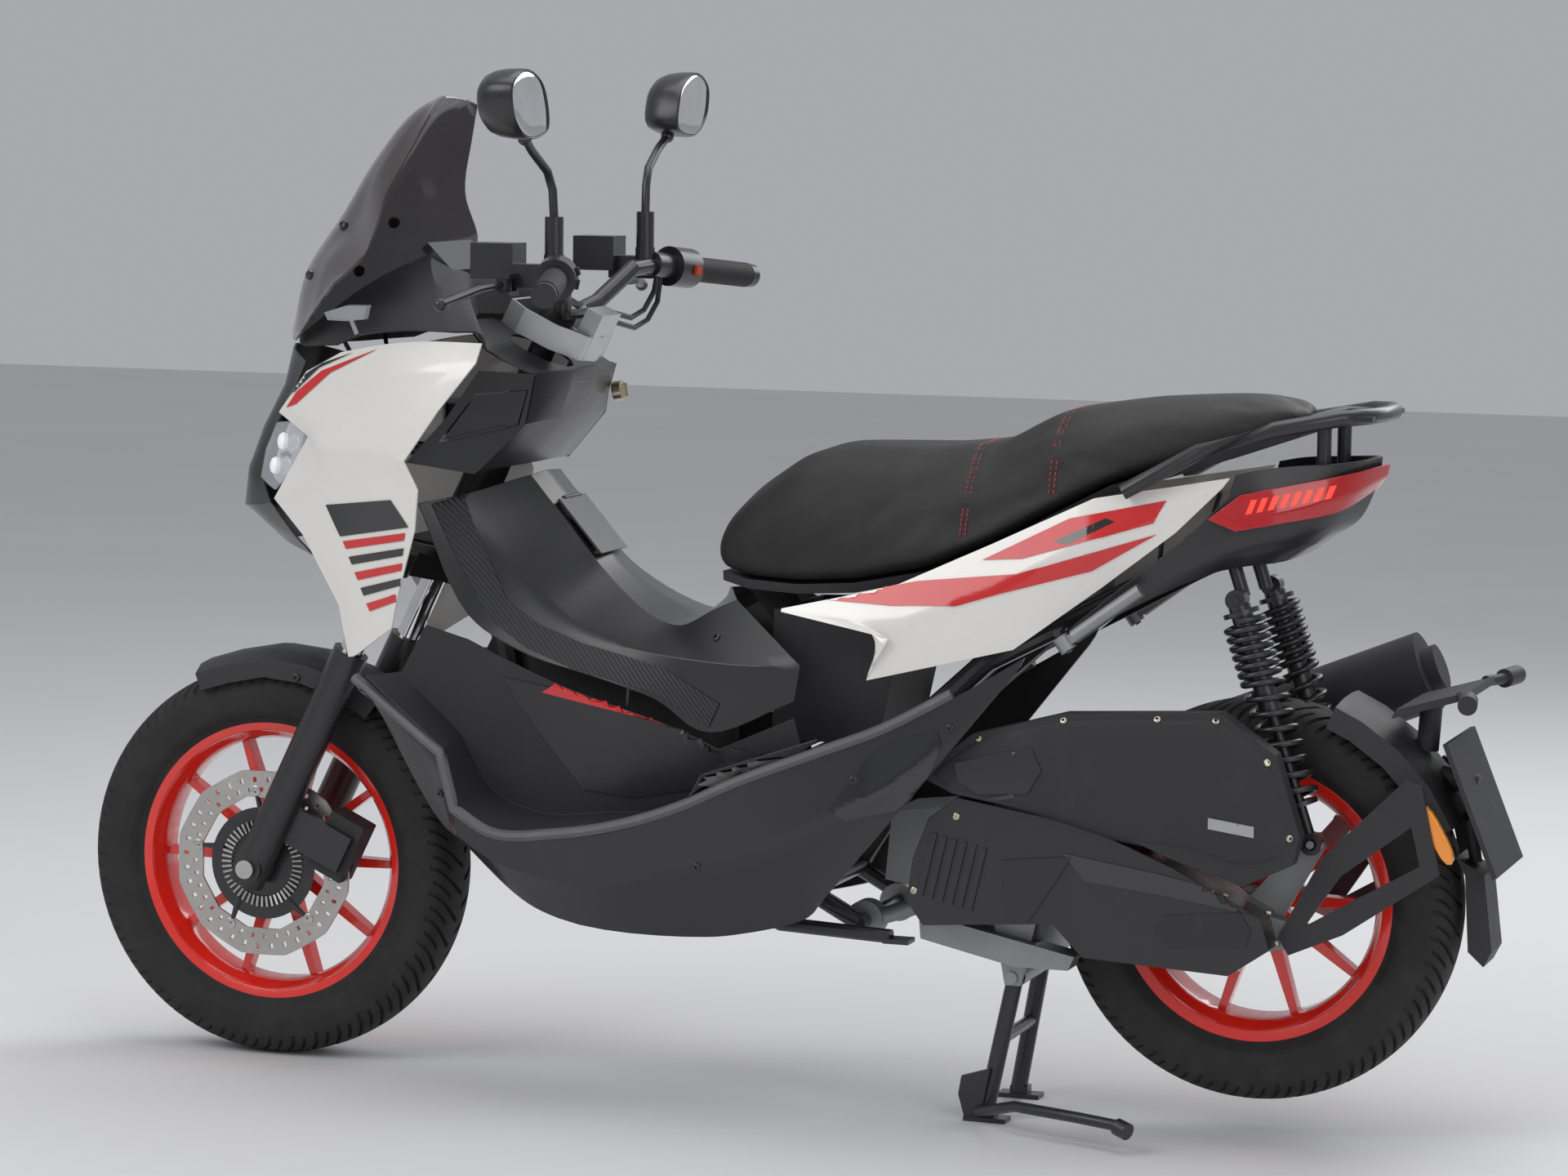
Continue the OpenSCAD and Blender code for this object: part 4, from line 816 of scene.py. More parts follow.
class SCOOTER_OT_panels(bpy.types.Operator):
    """Moulded body panels with smooth faces and crisp creases."""
    bl_idname = "scooter.panels"
    bl_label = "Body panels"

    def execute(self, context):
        panel("white_front_panels", FRONT_PANEL, (0, -1, 0), "pearl_white",
              ["front_side_panels"], creases=EVERY)
        panel("nose_beak", NOSE, (-1, 0, 0), "satin_black", ["nose_mask"],
              creases=EVERY)
        panel("smoked_screen", SCREEN, (-1, 0, 0), "smoke_screen",
              ["windscreen"], wall=4.0, folds=(2,))
        panel("footboard_panels", FLOOR, (0, -1, 1), "dark_trim",
              ["footboards"], folds=(1,), creases=(1, 6))
        panel("lower_skirts", SKIRT, (0, -1, 0), "satin_black",
              ["floor_skirts"], folds=(1,), creases=(2,))
        panel("white_rear_panels", REAR_PANEL, (0, -1, 0), "pearl_white",
              ["rear_side_panels"], folds=(1,), creases=EVERY)
        panel("tail_panels", TAIL, (0, -1, 0.2), "satin_black",
              ["tail_fairing"], creases=(1, 3))
        panel("tunnel_panel", TUNNEL, (0, -1, 0.6), "satin_black",
              ["tunnel_cover"], folds=(1, 2), hole=FUEL_OPENING)
        panel("dash_hood", DASH, (0, -1, 0.6), "dark_trim", ["dash_cowl"],
              creases=(4,), hole=DISPLAY_OPENING)
        panel("tail_lens", TAIL_LENS, (0.3, -1, 0), "red_lens", ["tail_light"],
              creases=(1,))
        return {"FINISHED"}


# ---------- wheels ----------
TREAD_STEPS = (0.0, 0.03, 0.17, 0.20, 0.34, 0.48, 0.51, 0.63, 0.66, 0.83)
# steps of the two grooves, and how far over the half width each one reaches
LONG_CUT, LONG_REACH = (1, 2), (0.10, 0.985)
SHORT_CUT, SHORT_REACH = (6, 7), (0.55, 0.96)
TREAD_LEAN, TREAD_BEND = 1.15, 1.4
RING_HEIGHT, RING_WAVE, RINGS_FROM = 0.0003, 4200.0, 0.80
CROWN = 0.030
BEAD_SIDES = 48
FRONT_BEAD, REAR_BEAD = 0.191, 0.178


def on_wheel(middle, radius, angle, y):
    """A place on a wheel, by radius and angle in its own plane."""
    return (middle.x + radius * math.cos(angle), y, middle.z + radius * math.sin(angle))


def tyre_section(bead, outer):
    """Half a tyre's section from bead to crown, as (share of the half width, radius)."""
    waist = (bead + outer) / 2
    return [(0.74, bead - 0.004), (0.80, bead + 0.002), (0.93, bead + 0.012),
            (0.99, waist - 0.012), (1.0, waist), (0.975, outer - 0.024),
            (0.90, outer - 0.0145), (0.74, outer - 0.0075), (0.50, outer - 0.0026),
            (0.25, outer - 0.0006), (0.0, outer)]


def tyre(name, node, body, bead):
    """A tyre with angled tread blocks, cut shoulders and moulded side rings."""
    sizes = bpy.context.scene.scooter_sizes
    low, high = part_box(node)
    middle, outer, half = (low + high) / 2, (high.x - low.x) / 2, (high.y - low.y) / 2
    curve = spline(np.array(tyre_section(bead, outer)) * (half, 1.0), 5)
    profile = [(-y, r) for y, r in curve] + [(y, r) for y, r in curve[::-1]][1:]

    def tread(radius, share, step):
        """The radius with its grooves, or with fine rings on the side wall."""
        if radius > outer - CROWN:
            cut = (step in LONG_CUT and LONG_REACH[0] < share < LONG_REACH[1]) or (
                step in SHORT_CUT and SHORT_REACH[0] < share < SHORT_REACH[1])
            return radius - (sizes.groove if cut else 0.0)
        rings = RING_HEIGHT * math.sin(radius * RING_WAVE)
        return radius + (rings if share > RINGS_FROM else 0.0)

    rows = []
    for k in range(sizes.blocks):
        for step, place in enumerate(TREAD_STEPS):
            row = []
            for y, r in profile:
                share = abs(y) / half
                turn = k + place + (0.5 if y > 0 else 0.0) + TREAD_LEAN * share ** TREAD_BEND
                row.append(on_wheel(middle, tread(r, share, step),
                                    2 * math.pi * turn / sizes.blocks, middle.y + y))
            rows.append(row)
    mesh = bmesh.new()
    weave(mesh, rows, closed=True)
    inner = [[mesh.verts.new(on_wheel(middle, bead - 0.006, a, middle.y + s * half * 0.70))
              for a in turns_of(BEAD_SIDES)] for s in (-1, 1)]
    for k in range(BEAD_SIDES):
        after = (k + 1) % BEAD_SIDES
        mesh.faces.new((inner[0][k], inner[0][after], inner[1][after], inner[1][k]))
    bmesh.ops.recalc_face_normals(mesh, faces=mesh.faces)
    return piece(name, mesh, body, "tyre", [node], 42.0)


class SCOOTER_OT_tyres(bpy.types.Operator):
    """Both tyres with their cut tread."""
    bl_idname = "scooter.tyres"
    bl_label = "Tyres"

    def execute(self, context):
        tyre("front_tyre_tread", "front_tyre", "front_wheel", FRONT_BEAD)
        tyre("rear_tyre_tread", "rear_tyre", "rear_wheel", REAR_BEAD)
        return {"FINISHED"}


SHOCK_TOP = Vector((0.641, 0.098, 0.688))
SHOCK_FOOT = Vector((0.743, 0.098, 0.388))
COIL_START, COIL_RUN, COIL_RADIUS = 0.022, 0.238, 0.0245
OPEN_PITCH = 1.75
COIL_STEPS = 18


class SCOOTER_OT_springs(bpy.types.Operator):
    """Coil springs of the rear shocks, closely wound above and open below."""
    bl_idname = "scooter.springs"
    bl_label = "Springs"

    def execute(self, context):
        sizes = context.scene.scooter_sizes
        way = (SHOCK_FOOT - SHOCK_TOP).normalized()
        over = Vector((0, 1, 0))
        out = way.cross(over)
        turns = sizes.close_turns + sizes.open_turns
        pitches = sizes.close_turns + sizes.open_turns * OPEN_PITCH
        path = []
        for k in range(int(turns * COIL_STEPS) + 1):
            turn = turns * k / int(turns * COIL_STEPS)
            close = min(turn, sizes.close_turns)
            share = (close + (turn - close) * OPEN_PITCH) / pitches
            along = COIL_START + sizes.wire + share * (COIL_RUN - 2 * sizes.wire)
            angle = 2 * math.pi * turn
            path.append(SHOCK_TOP + way * along
                        + (over * math.cos(angle) + out * math.sin(angle)) * COIL_RADIUS)
        mesh = bmesh.new()
        for side in (LEFT, RIGHT):
            tube(mesh, [(x, y * -side, z) for x, y, z in path], sizes.wire)
        bmesh.ops.recalc_face_normals(mesh, faces=mesh.faces)
        coils = piece("shock_coils", mesh, "shock_uppers", "black_metal",
                      ["shock_springs"], 60.0)
        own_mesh(coils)
        return {"FINISHED"}


# ---------- seat ----------
PAD_FRAMES = 20
PAD_UNDERSIDE = -0.55
SEAM_WIDTH, SEAM_DEPTH = 0.011, 0.0022
SEAM_POINTS, SEAM_REACH = 91, 0.17
# seams across the seat in millimetres: x at the middle, x at the side, lowest z at the side
SEAT_SEAMS = ((300.0, 232.0, 740.0), (412.0, 352.0, 800.0))


def swollen(source, name):
    """A foam body grown from a CAD solid with a cloth simulation."""
    sizes = bpy.context.scene.scooter_sizes
    data = source.data.copy()
    pad = bpy.data.objects.new(name, data)
    bpy.context.scene.collection.objects.link(pad)
    pad.modifiers.new("weld", "WELD").merge_threshold = 0.05 * MM
    tuck = pad.modifiers.new("tuck", "DISPLACE")
    tuck.strength = -sizes.tuck
    tuck.mid_level = 0.0
    voxels = pad.modifiers.new("foam", "REMESH")
    voxels.mode = "VOXEL"
    voxels.voxel_size = sizes.voxel
    ease = pad.modifiers.new("ease", "SMOOTH")
    ease.factor, ease.iterations = 0.6, 14
    settle(pad)
    rest = np.array([v.co for v in pad.data.vertices])
    held = pad.vertex_groups.new(name="held")
    held.add([v.index for v in pad.data.vertices if v.normal.z < PAD_UNDERSIDE], 1.0, "REPLACE")
    cloth = pad.modifiers.new("cloth", "CLOTH")
    cloth.settings.use_pressure = True
    cloth.settings.uniform_pressure_force = sizes.pressure
    cloth.settings.effector_weights.gravity = 0.0
    cloth.settings.vertex_group_mass = "held"
    cloth.point_cache.frame_end = PAD_FRAMES
    for step in range(1, PAD_FRAMES + 1):
        bpy.context.scene.frame_set(step)
    settle(pad)
    bpy.context.scene.frame_set(1)
    grown = np.array([v.co for v in pad.data.vertices])
    moves = grown - rest
    lengths = np.linalg.norm(moves, axis=1)[:, None] + 1e-9
    grown = rest + moves * np.minimum(1.0, sizes.swell / lengths)
    pad.data.vertices.foreach_set("co", grown.ravel())
    soften = pad.modifiers.new("soften", "SMOOTH")
    soften.factor, soften.iterations = 0.5, 4
    pad.modifiers.new("smooth", "SUBSURF").levels = 1
    settle(pad)
    return pad


def settle(thing):
    """Applies every modifier of an object."""
    graph = bpy.context.evaluated_depsgraph_get()
    data = bpy.data.meshes.new_from_object(thing.evaluated_get(graph))
    thing.modifiers.clear()
    thing.data = data


def press_seam(pad, lines, width, depth):
    """Pushes a groove into a pad along lines of points."""
    points = np.vstack(lines)
    data = pad.data
    places = np.array([v.co for v in data.vertices])
    normals = np.array([v.normal for v in data.vertices])
    gap = np.full(len(places), 1.0)
    for spot in points:
        gap = np.minimum(gap, np.linalg.norm(places - spot, axis=1))
    share = np.clip(1.0 - gap / width, 0.0, 1.0) ** 1.5
    data.vertices.foreach_set("co", (places - normals * (share * depth)[:, None]).ravel())
    data.update()


def seam_line(skin, middle, edge, low):
    """Points of a seam over the seat from side to side."""
    line = []
    for share in np.linspace(-1.0, 1.0, SEAM_POINTS):
        x = (middle + (edge - middle) * abs(share) ** 2.2) * MM
        spot, normal = skin.hit((x, SEAM_REACH * share, 0.0), (0, -share * 0.55, -1))
        if spot.z > low * MM:
            line.append((spot, normal))
    return line


def sew(mesh, line, sizes, offset):
    """Stitches laid along a line of (place, normal) points, beside it by offset."""
    spots = []
    for i, (place, normal) in enumerate(line):
        way = line[min(i + 1, len(line) - 1)][0] - line[max(i - 1, 0)][0]
        spots.append(place + normal.cross(way.normalized()) * offset)
    start = None
    for i in range(1, len(spots)):
        start = spots[i - 1] if start is None else start
        if (spots[i] - start).length >= sizes.stitch:
            middle = (start + spots[i]) / 2 + line[i][1] * sizes.thread * 0.9
            way = (spots[i] - start).normalized() * sizes.stitch * 0.38
            lift = line[i][1] * sizes.thread * 0.5
            tube(mesh, [middle - way - lift, middle - way * 0.7, middle + way * 0.7,
                        middle + way - lift],
                 [sizes.thread * share for share in (0.5, 1.0, 1.0, 0.5)], 6)
            start = None


class SCOOTER_OT_seat(bpy.types.Operator):
    """Padded seat with pressed seams and red double stitching."""
    bl_idname = "scooter.seat"
    bl_label = "Seat"

    def execute(self, context):
        sizes = context.scene.scooter_sizes
        pad = swollen(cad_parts["seat_cushion"], "seat_pad")
        skin = Skin(pad)
        seams = [seam_line(skin, *seam) for seam in SEAT_SEAMS]
        press_seam(pad, [np.array([p for p, _ in line]) for line in seams],
                   SEAM_WIDTH, SEAM_DEPTH)
        pad.data.materials.clear()
        pad.data.materials.append(FINISHES["seat_vinyl"])
        pad.data.polygons.foreach_set("use_smooth", [True] * len(pad.data.polygons))
        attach(pad, "seat")
        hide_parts("seat_cushion")
        PIECES["seat_pad"] = pad
        skin = Skin(pad)
        mesh = bmesh.new()
        for seam in SEAT_SEAMS:
            line = seam_line(skin, *seam)
            fine = [line[0]]
            for a, b in zip(line, line[1:]):
                parts = max(1, int((b[0] - a[0]).length / 0.0015))
                fine += [(a[0].lerp(b[0], k / parts), a[1].lerp(b[1], k / parts).normalized())
                         for k in range(1, parts + 1)]
            for side in (-0.5, 0.5):
                sew(mesh, fine, sizes, side * sizes.seam)
        bmesh.ops.recalc_face_normals(mesh, faces=mesh.faces)
        piece("seat_stitches", mesh, "seat", "red_thread", smooth=60.0)
        return {"FINISHED"}


# ---------- moulded plates ----------
RIM_STEPS = 4
PLATE_STEP = 14.0
CURVE_STEPS = 12


def soft_outline(outline):
    """An outline with evenly spread points and eased corners."""
    line = np.array(outline, float)
    dense = []
    for a, b in zip(line, np.roll(line, -1, axis=0)):
        parts = max(2, int(np.linalg.norm(b - a) / PLATE_STEP))
        dense += [a + (b - a) * k / parts for k in range(parts)]
    dense = np.array(dense)
    for _ in range(3):
        beside = np.roll(dense, 1, axis=0) + np.roll(dense, -1, axis=0)
        dense = dense * 0.5 + beside * 0.25
    return dense


def puff(mesh, outline, base, face, edge, dome, side):
    """A moulded plate with a rounded rim over an (x, z) outline, from y base out to y face."""
    line = soft_outline(outline)
    after, before = np.roll(line, -1, axis=0), np.roll(line, 1, axis=0)
    area = 0.5 * np.sum(line[:, 0] * after[:, 1] - after[:, 0] * line[:, 1])
    runs = after - before
    inward = np.stack([-runs[:, 1], runs[:, 0]], 1) / np.linalg.norm(runs, axis=1)[:, None]
    inward *= 1 if area > 0 else -1
    way = 1 if face > base else -1
    rings = [(line, base), (line, face - way * edge)]
    for k in range(1, RIM_STEPS + 1):
        turn = math.pi / 2 * k / RIM_STEPS
        rings.append((line + inward * edge * (1 - math.cos(turn)),
                      face - way * edge * (1 - math.sin(turn))))
    rim = rings[-1][0]
    for share in (0.25, 0.5, 0.75):
        rings.append((rim + (line.mean(0) - rim) * share, face + way * dome * share))
    loft(mesh, [[(x * MM, y * MM * side, z * MM) for x, z in ring] for ring, y in rings])


def plates(name, body, finish, shape, sides=(LEFT,)):
    """A moulded plate on each side; its shape is (outline, base y, face y, rim radius, dome)."""
    mesh = bmesh.new()
    for side in sides:
        puff(mesh, *shape, side)
    bmesh.ops.recalc_face_normals(mesh, faces=mesh.faces)
    return piece(name, mesh, body, finish, smooth=40.0)


def ring_of(points, number):
    """Evenly spread points on a smooth closed curve."""
    p = np.array(points, float)
    closed = np.vstack([p[-2:], p, p[:3]])
    curve = spline(closed, CURVE_STEPS)[2 * CURVE_STEPS:-2 * CURVE_STEPS][:len(p) * CURVE_STEPS]
    return curve[np.linspace(0, len(curve), number, endpoint=False).astype(int)]


def row_of(points, number, dx, dz):
    """Copies of an outline, each moved on by dx and dz."""
    return [[(x + dx * k, z + dz * k) for x, z in points] for k in range(number)]


# ---------- engine unit ----------
AIRBOX = [[254, 456], [322, 510], [442, 542], [638, 553], [708, 505], [741, 406], [732, 372],
          [668, 356], [600, 376], [520, 382], [440, 404], [350, 424], [296, 430]]
# laid on the engine side: name, finish, slot, thickness, lift, rounding, outlines
ENGINE_PLATES = (
    ("cover_ribs", "satin_black", "black_panel", 3.0, 0.0, 1.0,
     row_of([(268, 380), (276, 381), (258, 300), (250, 302)], 6, 13, -3)),
    ("cover_plaque", "matt_black", "black_panel", 1.6, 0.0, 0.7,
     [[(570, 296), (668, 306), (682, 284), (676, 262), (580, 256), (560, 272)]]),
    ("cover_blade", "dark_trim", "black_panel", 3.0, 0.0, 1.0,
     [[(360, 352), (452, 362), (392, 268), (372, 262)]]),
    ("cover_sweep", "gloss_black", "black_panel", 2.0, 0.0, 0.9,
     [[(440, 366), (560, 348), (700, 322), (716, 300), (560, 322), (470, 332)]]),
    ("airbox_badge", "silver_plastic", "silver_plastic", 1.2, 0.2, 0.5,
     [[(628, 424), (686, 416), (686, 402), (628, 410)]]),
    # dark gloss sheets over the slot places: painted shade inside the slot openings
    ("airbox_slot_shade", "gloss_black", "black_panel", 0.8, 0.1, 0.0,
     row_of([(330, 470), (366, 478), (368, 473), (332, 465)], 4, 4, -13)),
    ("airbox_hatch", "satin_black", "black_panel", 2.2, 0.0, 0.9,
     [[(300, 474), (400, 498), (414, 470), (396, 440), (330, 436), (304, 452)]]),
)
ENGINE_SCREWS = ((262, 458), (330, 506), (440, 534), (560, 542), (634, 544), (700, 496),
                 (730, 404), (720, 376), (250, 388), (300, 404), (716, 322), (722, 268),
                 (660, 222), (540, 214), (420, 224), (300, 252), (246, 306))


class SCOOTER_OT_engine(bpy.types.Operator):
    """Outer shapes of the engine side: airbox shell, drive cover, ribs, plaque and screws."""
    bl_idname = "scooter.engine"
    bl_label = "Engine unit"

    def execute(self, context):
        plates("airbox_shell", "engine_unit", "matt_black",
               (AIRBOX, -146, -172, 14, 3.0))
        skin = Skin(*shown("transmission_cover", "airbox_shell"))
        for name, finish, slot, thick, lift, bevel, outlines in ENGINE_PLATES:
            lay(name, outlines, skin, "engine_unit", finish, thick, lift, (LEFT,), bevel)
        screws_on("engine_screws", "engine_unit", "zinc", skin, ENGINE_SCREWS, sides=(LEFT,))
        return {"FINISHED"}


# ---------- brakes ----------
WAVES, WAVE_DEPTH = 12, 0.0030
DISC_CELLS, REPEAT = 288, 24
DISC_THICK = 0.004
# rings of the disc, measured in from its edge, and its holes as (ring, cell) in each repeat
DISC_RINGS = (0.036, 0.031, 0.025, 0.018, 0.011, 0.0)
DISC_HOLES = {(ring, cell + k) for ring, cell in ((1, 0), (3, 4), (1, 8), (3, 12), (1, 16), (3, 20))
              for k in (0, 1)}
CARRIER = ((0.021, -0.012), (0.036, -0.012), (0.040, -0.006), (0.074, -0.0046),
           (0.076, -0.0005), (0.040, 0.0008), (0.030, 0.003), (0.021, 0.003))
RIVET = ((0.0075, 0), (0.0075, 0.0006), (0.0062, 0.0012), (0.0030, 0.0012), (0.0028, 0.0004))
ARMS, ARM_ROOT, ARM_TIP, ARM_LEAN = 5, 0.060, 0.030, 0.12
TEETH, TOOTH_RING, TOOTH_HALF = 48, 0.052, 0.007


def wave_disc(mesh, middle, outer, face):
    """The drilled ring of the disc, with waves along its inner and outer edge."""
    shells = []
    for y in (face, face + DISC_THICK):
        rings = []
        for ring in DISC_RINGS:
            row = []
            for a in turns_of(DISC_CELLS):
                dip = WAVE_DEPTH * (0.5 + 0.5 * math.cos(a * WAVES)) ** 0.5
                edge = outer - ring - (dip if ring in (DISC_RINGS[0], DISC_RINGS[-1]) else 0.0)
                row.append(mesh.verts.new(on_wheel(middle, edge, a, y)))
            rings.append(row)
        shells.append(rings)
    solid = {(i, k): (i, k % REPEAT) not in DISC_HOLES for i in range(len(DISC_RINGS) - 1)
             for k in range(DISC_CELLS)}
    for i, k in (cell for cell, whole in solid.items() if whole):
        j = (k + 1) % DISC_CELLS
        for rings, turned in zip(shells, (False, True)):
            loop = (rings[i][k], rings[i][j], rings[i + 1][j], rings[i + 1][k])
            mesh.faces.new(loop[::-1] if turned else loop)
        sides = (((i - 1, k), (i, k), (i, j)), ((i + 1, k), (i + 1, k), (i + 1, j)),
                 ((i, (k - 1) % DISC_CELLS), (i, k), (i + 1, k)), ((i, j), (i, j), (i + 1, j)))
        for beside, (i0, k0), (i1, k1) in sides:
            if not solid.get(beside, False):
                mesh.faces.new((shells[0][i0][k0], shells[0][i1][k1],
                                shells[1][i1][k1], shells[1][i0][k0]))


def carrier(mesh, middle, outer, face):
    """The turned carrier with its tapered arms."""
    place = Matrix.Translation((middle.x, face, middle.z)) @ Matrix.Rotation(math.pi / 2, 4, "X")
    lathe(mesh, CARRIER, place, 60)
    for k in range(ARMS):
        a = 2 * math.pi * (k + 0.25) / ARMS
        start = Vector(on_wheel(middle, ARM_ROOT, a, face + 0.0016))
        end = Vector(on_wheel(middle, outer - ARM_TIP, a + ARM_LEAN, face + 0.0016))
        tube(mesh, [start, start.lerp(end, 0.5), end], (0.0060, 0.0040, 0.0026), 10)


def rivets(mesh, middle, outer, face):
    """A flat rivet at the end of each arm."""
    for k in range(ARMS):
        a = 2 * math.pi * (k + 0.25) / ARMS + ARM_LEAN
        spot = on_wheel(middle, outer - ARM_TIP, a, face - 0.0004)
        lathe(mesh, RIVET, pointing(spot, (0, -1, 0)), 20)


def sensor_ring(mesh, middle, outer, face):
    """The teeth of the wheel-speed sensor."""
    for a in turns_of(TEETH):
        tube(mesh, [on_wheel(middle, TOOTH_RING + end, a, face - 0.0030)
                    for end in (-TOOTH_HALF, TOOTH_HALF)], 0.0017, 6)


class SCOOTER_OT_disc(bpy.types.Operator):
    """Wave-edged drilled brake disc on its carrier, with a toothed sensor ring."""
    bl_idname = "scooter.disc"
    bl_label = "Front disc"

    def execute(self, context):
        low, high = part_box("front_disc")
        sizes = ((low + high) / 2, (high.x - low.x) / 2, low.y)
        for name, make, finish, slot, nodes, smooth in (
                ("wave_disc", wave_disc, "disc_steel", "steel", ["front_disc"], 30.0),
                ("disc_carrier", carrier, "black_metal", "black_metal", (), 35.0),
                ("disc_rivets", rivets, "steel", "steel", (), 35.0),
                ("sensor_ring", sensor_ring, "steel", "steel", (), 35.0)):
            mesh = bmesh.new()
            make(mesh, *sizes)
            bmesh.ops.recalc_face_normals(mesh, faces=mesh.faces)
            piece(name, mesh, "front_wheel", finish, nodes, smooth)
        return {"FINISHED"}


# ---------- mirrors ----------
MIRROR = [[238, 1256], [262, 1248], [330, 1252], [362, 1280], [366, 1312], [340, 1330],
          [290, 1331], [250, 1308]]
MIRROR_MIDDLE = (302.0, 1288.0)
MIRROR_POINTS = 56
# stations of the housing and of the glass, as (x, share of the outline)
HOUSING = ((-284, 0.50), (-281, 0.68), (-275, 0.83), (-264, 0.93), (-250, 0.975),
           (-236, 0.985), (-228, 0.975), (-226, 0.94), (-228.5, 0.90))
GLASS = ((-229.5, 0.89), (-227.4, 0.89), (-227.0, 0.87), (-226.6, 0.4))


class SCOOTER_OT_mirrors(bpy.types.Operator):
    """Rounded mirror housings with their glass."""
    bl_idname = "scooter.mirrors"
    bl_label = "Mirrors"

    def execute(self, context):
        ring = ring_of(MIRROR, MIRROR_POINTS)
        middle_y, middle_z = MIRROR_MIDDLE
        for side, word in ((LEFT, "left"), (RIGHT, "right")):
            body = word + "_mirror"
            for part, stations, finish, slot, nodes, smooth in (
                    ("_shell", HOUSING, "satin_black", "black_panel", [body], 40.0),
                    ("_glass", GLASS, "mirror_glass", "chrome", (), 35.0)):
                mesh = bmesh.new()
                loft(mesh, [[(x * MM, -(middle_y + (y - middle_y) * share) * MM * side,
                              (middle_z + (z - middle_z) * share) * MM) for y, z in ring]
                            for x, share in stations])
                bmesh.ops.recalc_face_normals(mesh, faces=mesh.faces)
                piece(body + part, mesh, body, finish, nodes, smooth)
        return {"FINISHED"}


# ---------- decals and laid-on details ----------
TRIM_EDGE = [(-425, 776), (-396, 706), (-352, 622), (-296, 586), (-228, 562), (-108, 538),
             (-30, 500)]
FOOT_PANEL = [(-262, 535), (-330, 545), (-300, 505), (-216, 404), (-150, 396), (-6, 424),
              (60, 452), (96, 470), (30, 470), (-60, 486), (-150, 508)]


BAR = ((-544, 716), (-440, 734), (-442, 724), (-539, 706))
BAR_STEPS = (9, -3, -3, 9)
BARS = [[(x + step * k, z - 20 * k) for (x, z), step in zip(BAR, BAR_STEPS)] for k in range(5)]
TAIL_LEDS = [[(x + 13 * k, z + rise * k) for x, z, rise in
              ((662, 815, 2.6), (669, 816, 2.6), (663, 799, 2.8), (656, 797, 2.8))]
             for k in range(8)]
# printed on the white panels: name, panel, finish, lift, outlines
DECALS = (
    ("front_sweep_red", "white_front_panels", "signal_red", None,
     [[(-652, 884), (-634, 906), (-590, 936), (-500, 968), (-575, 934), (-634, 890)]]),
    ("front_sweep_black", "white_front_panels", "gloss_black", None,
     [[(-656, 898), (-640, 918), (-590, 946), (-540, 962), (-594, 940), (-638, 906)]]),
    ("front_block_black", "white_front_panels", "gloss_black", None,
     [[(-572, 762), (-462, 776), (-434, 742), (-548, 722)]]),
    ("front_bars_red", "white_front_panels", "signal_red", None, BARS[::2]),
    ("front_bars_black", "white_front_panels", "gloss_black", None, BARS[1::2]),
    ("rear_stripe_low", "white_rear_panels", "signal_red", None,
     [[(120, 671), (246, 700), (377, 715), (549, 770), (470, 722), (350, 688), (300, 672),
       (215, 668)]]),
    ("rear_stripe_high", "white_rear_panels", "signal_red", None,
     [[(330, 730), (440, 786), (560, 812), (545, 784), (382, 734)]]),
    ("rear_stripe_dark", "white_rear_panels", "gloss_black", 1.0,
     [[(420, 756), (486, 788), (498, 784), (440, 754)]]),
)
# laid on the dark panels: name, finish, thickness, lift, rounding, outline
INSERTS = (
    ("tunnel_trim", "ribbed_trim", 1.6, 0.3, 0.6, band(TRIM_EDGE, 34.0)),
    ("red_insert", "signal_red", 1.4, 1.6, 0.5,
     [(-272, 528), (-249, 543), (-96, 509), (-85, 497), (-180, 512)]),
    ("foot_panel", "satin_black", 2.2, 0.2, 0.9, FOOT_PANEL),
    ("arm_lens", "gloss_black", 1.8, 0.3, 0.7,
     [(196, 476), (228, 500), (284, 516), (290, 500), (262, 420), (170, 398), (150, 410)]),
)
STRIP_RADIUS = 0.0075
LAMP_UNITS = ((-664, -79, 838), (-676, -77, 805))
LAMP_UNIT = ((0.002, -0.004), (0.011, -0.004), (0.012, 0.002), (0.009, 0.006),
             (0.004, 0.0078), (0.001, 0.008))
REFLECTOR = ([(872, 446), (889, 454), (931, 380), (917, 366)], -112, -122, 2.0, 0.5)
# name, body, finish, things the screws sit on, places, radius, direction of view
SCREWS = (
    ("screen_screws", "chassis", "gloss_black", ("smoked_screen",),
     ((-588, 1128), (-640, 1062)), 8.0, (0.7, 1, -0.1)),
    ("fender_screws", "fork_lower", "black_metal", ("front_fender",),
     ((-652, 520), (-610, 470)), 6.0, (0, 1, 0)),
    ("panel_screws", "chassis", "black_metal",
     ("footboard_panels", "lower_skirts", "tunnel_panel", "leg_shield"),
     ((-20, 330), (180, 450), (-380, 400), (300, 520), (-30, 612)), 5.5, (0, 1, 0)),
)


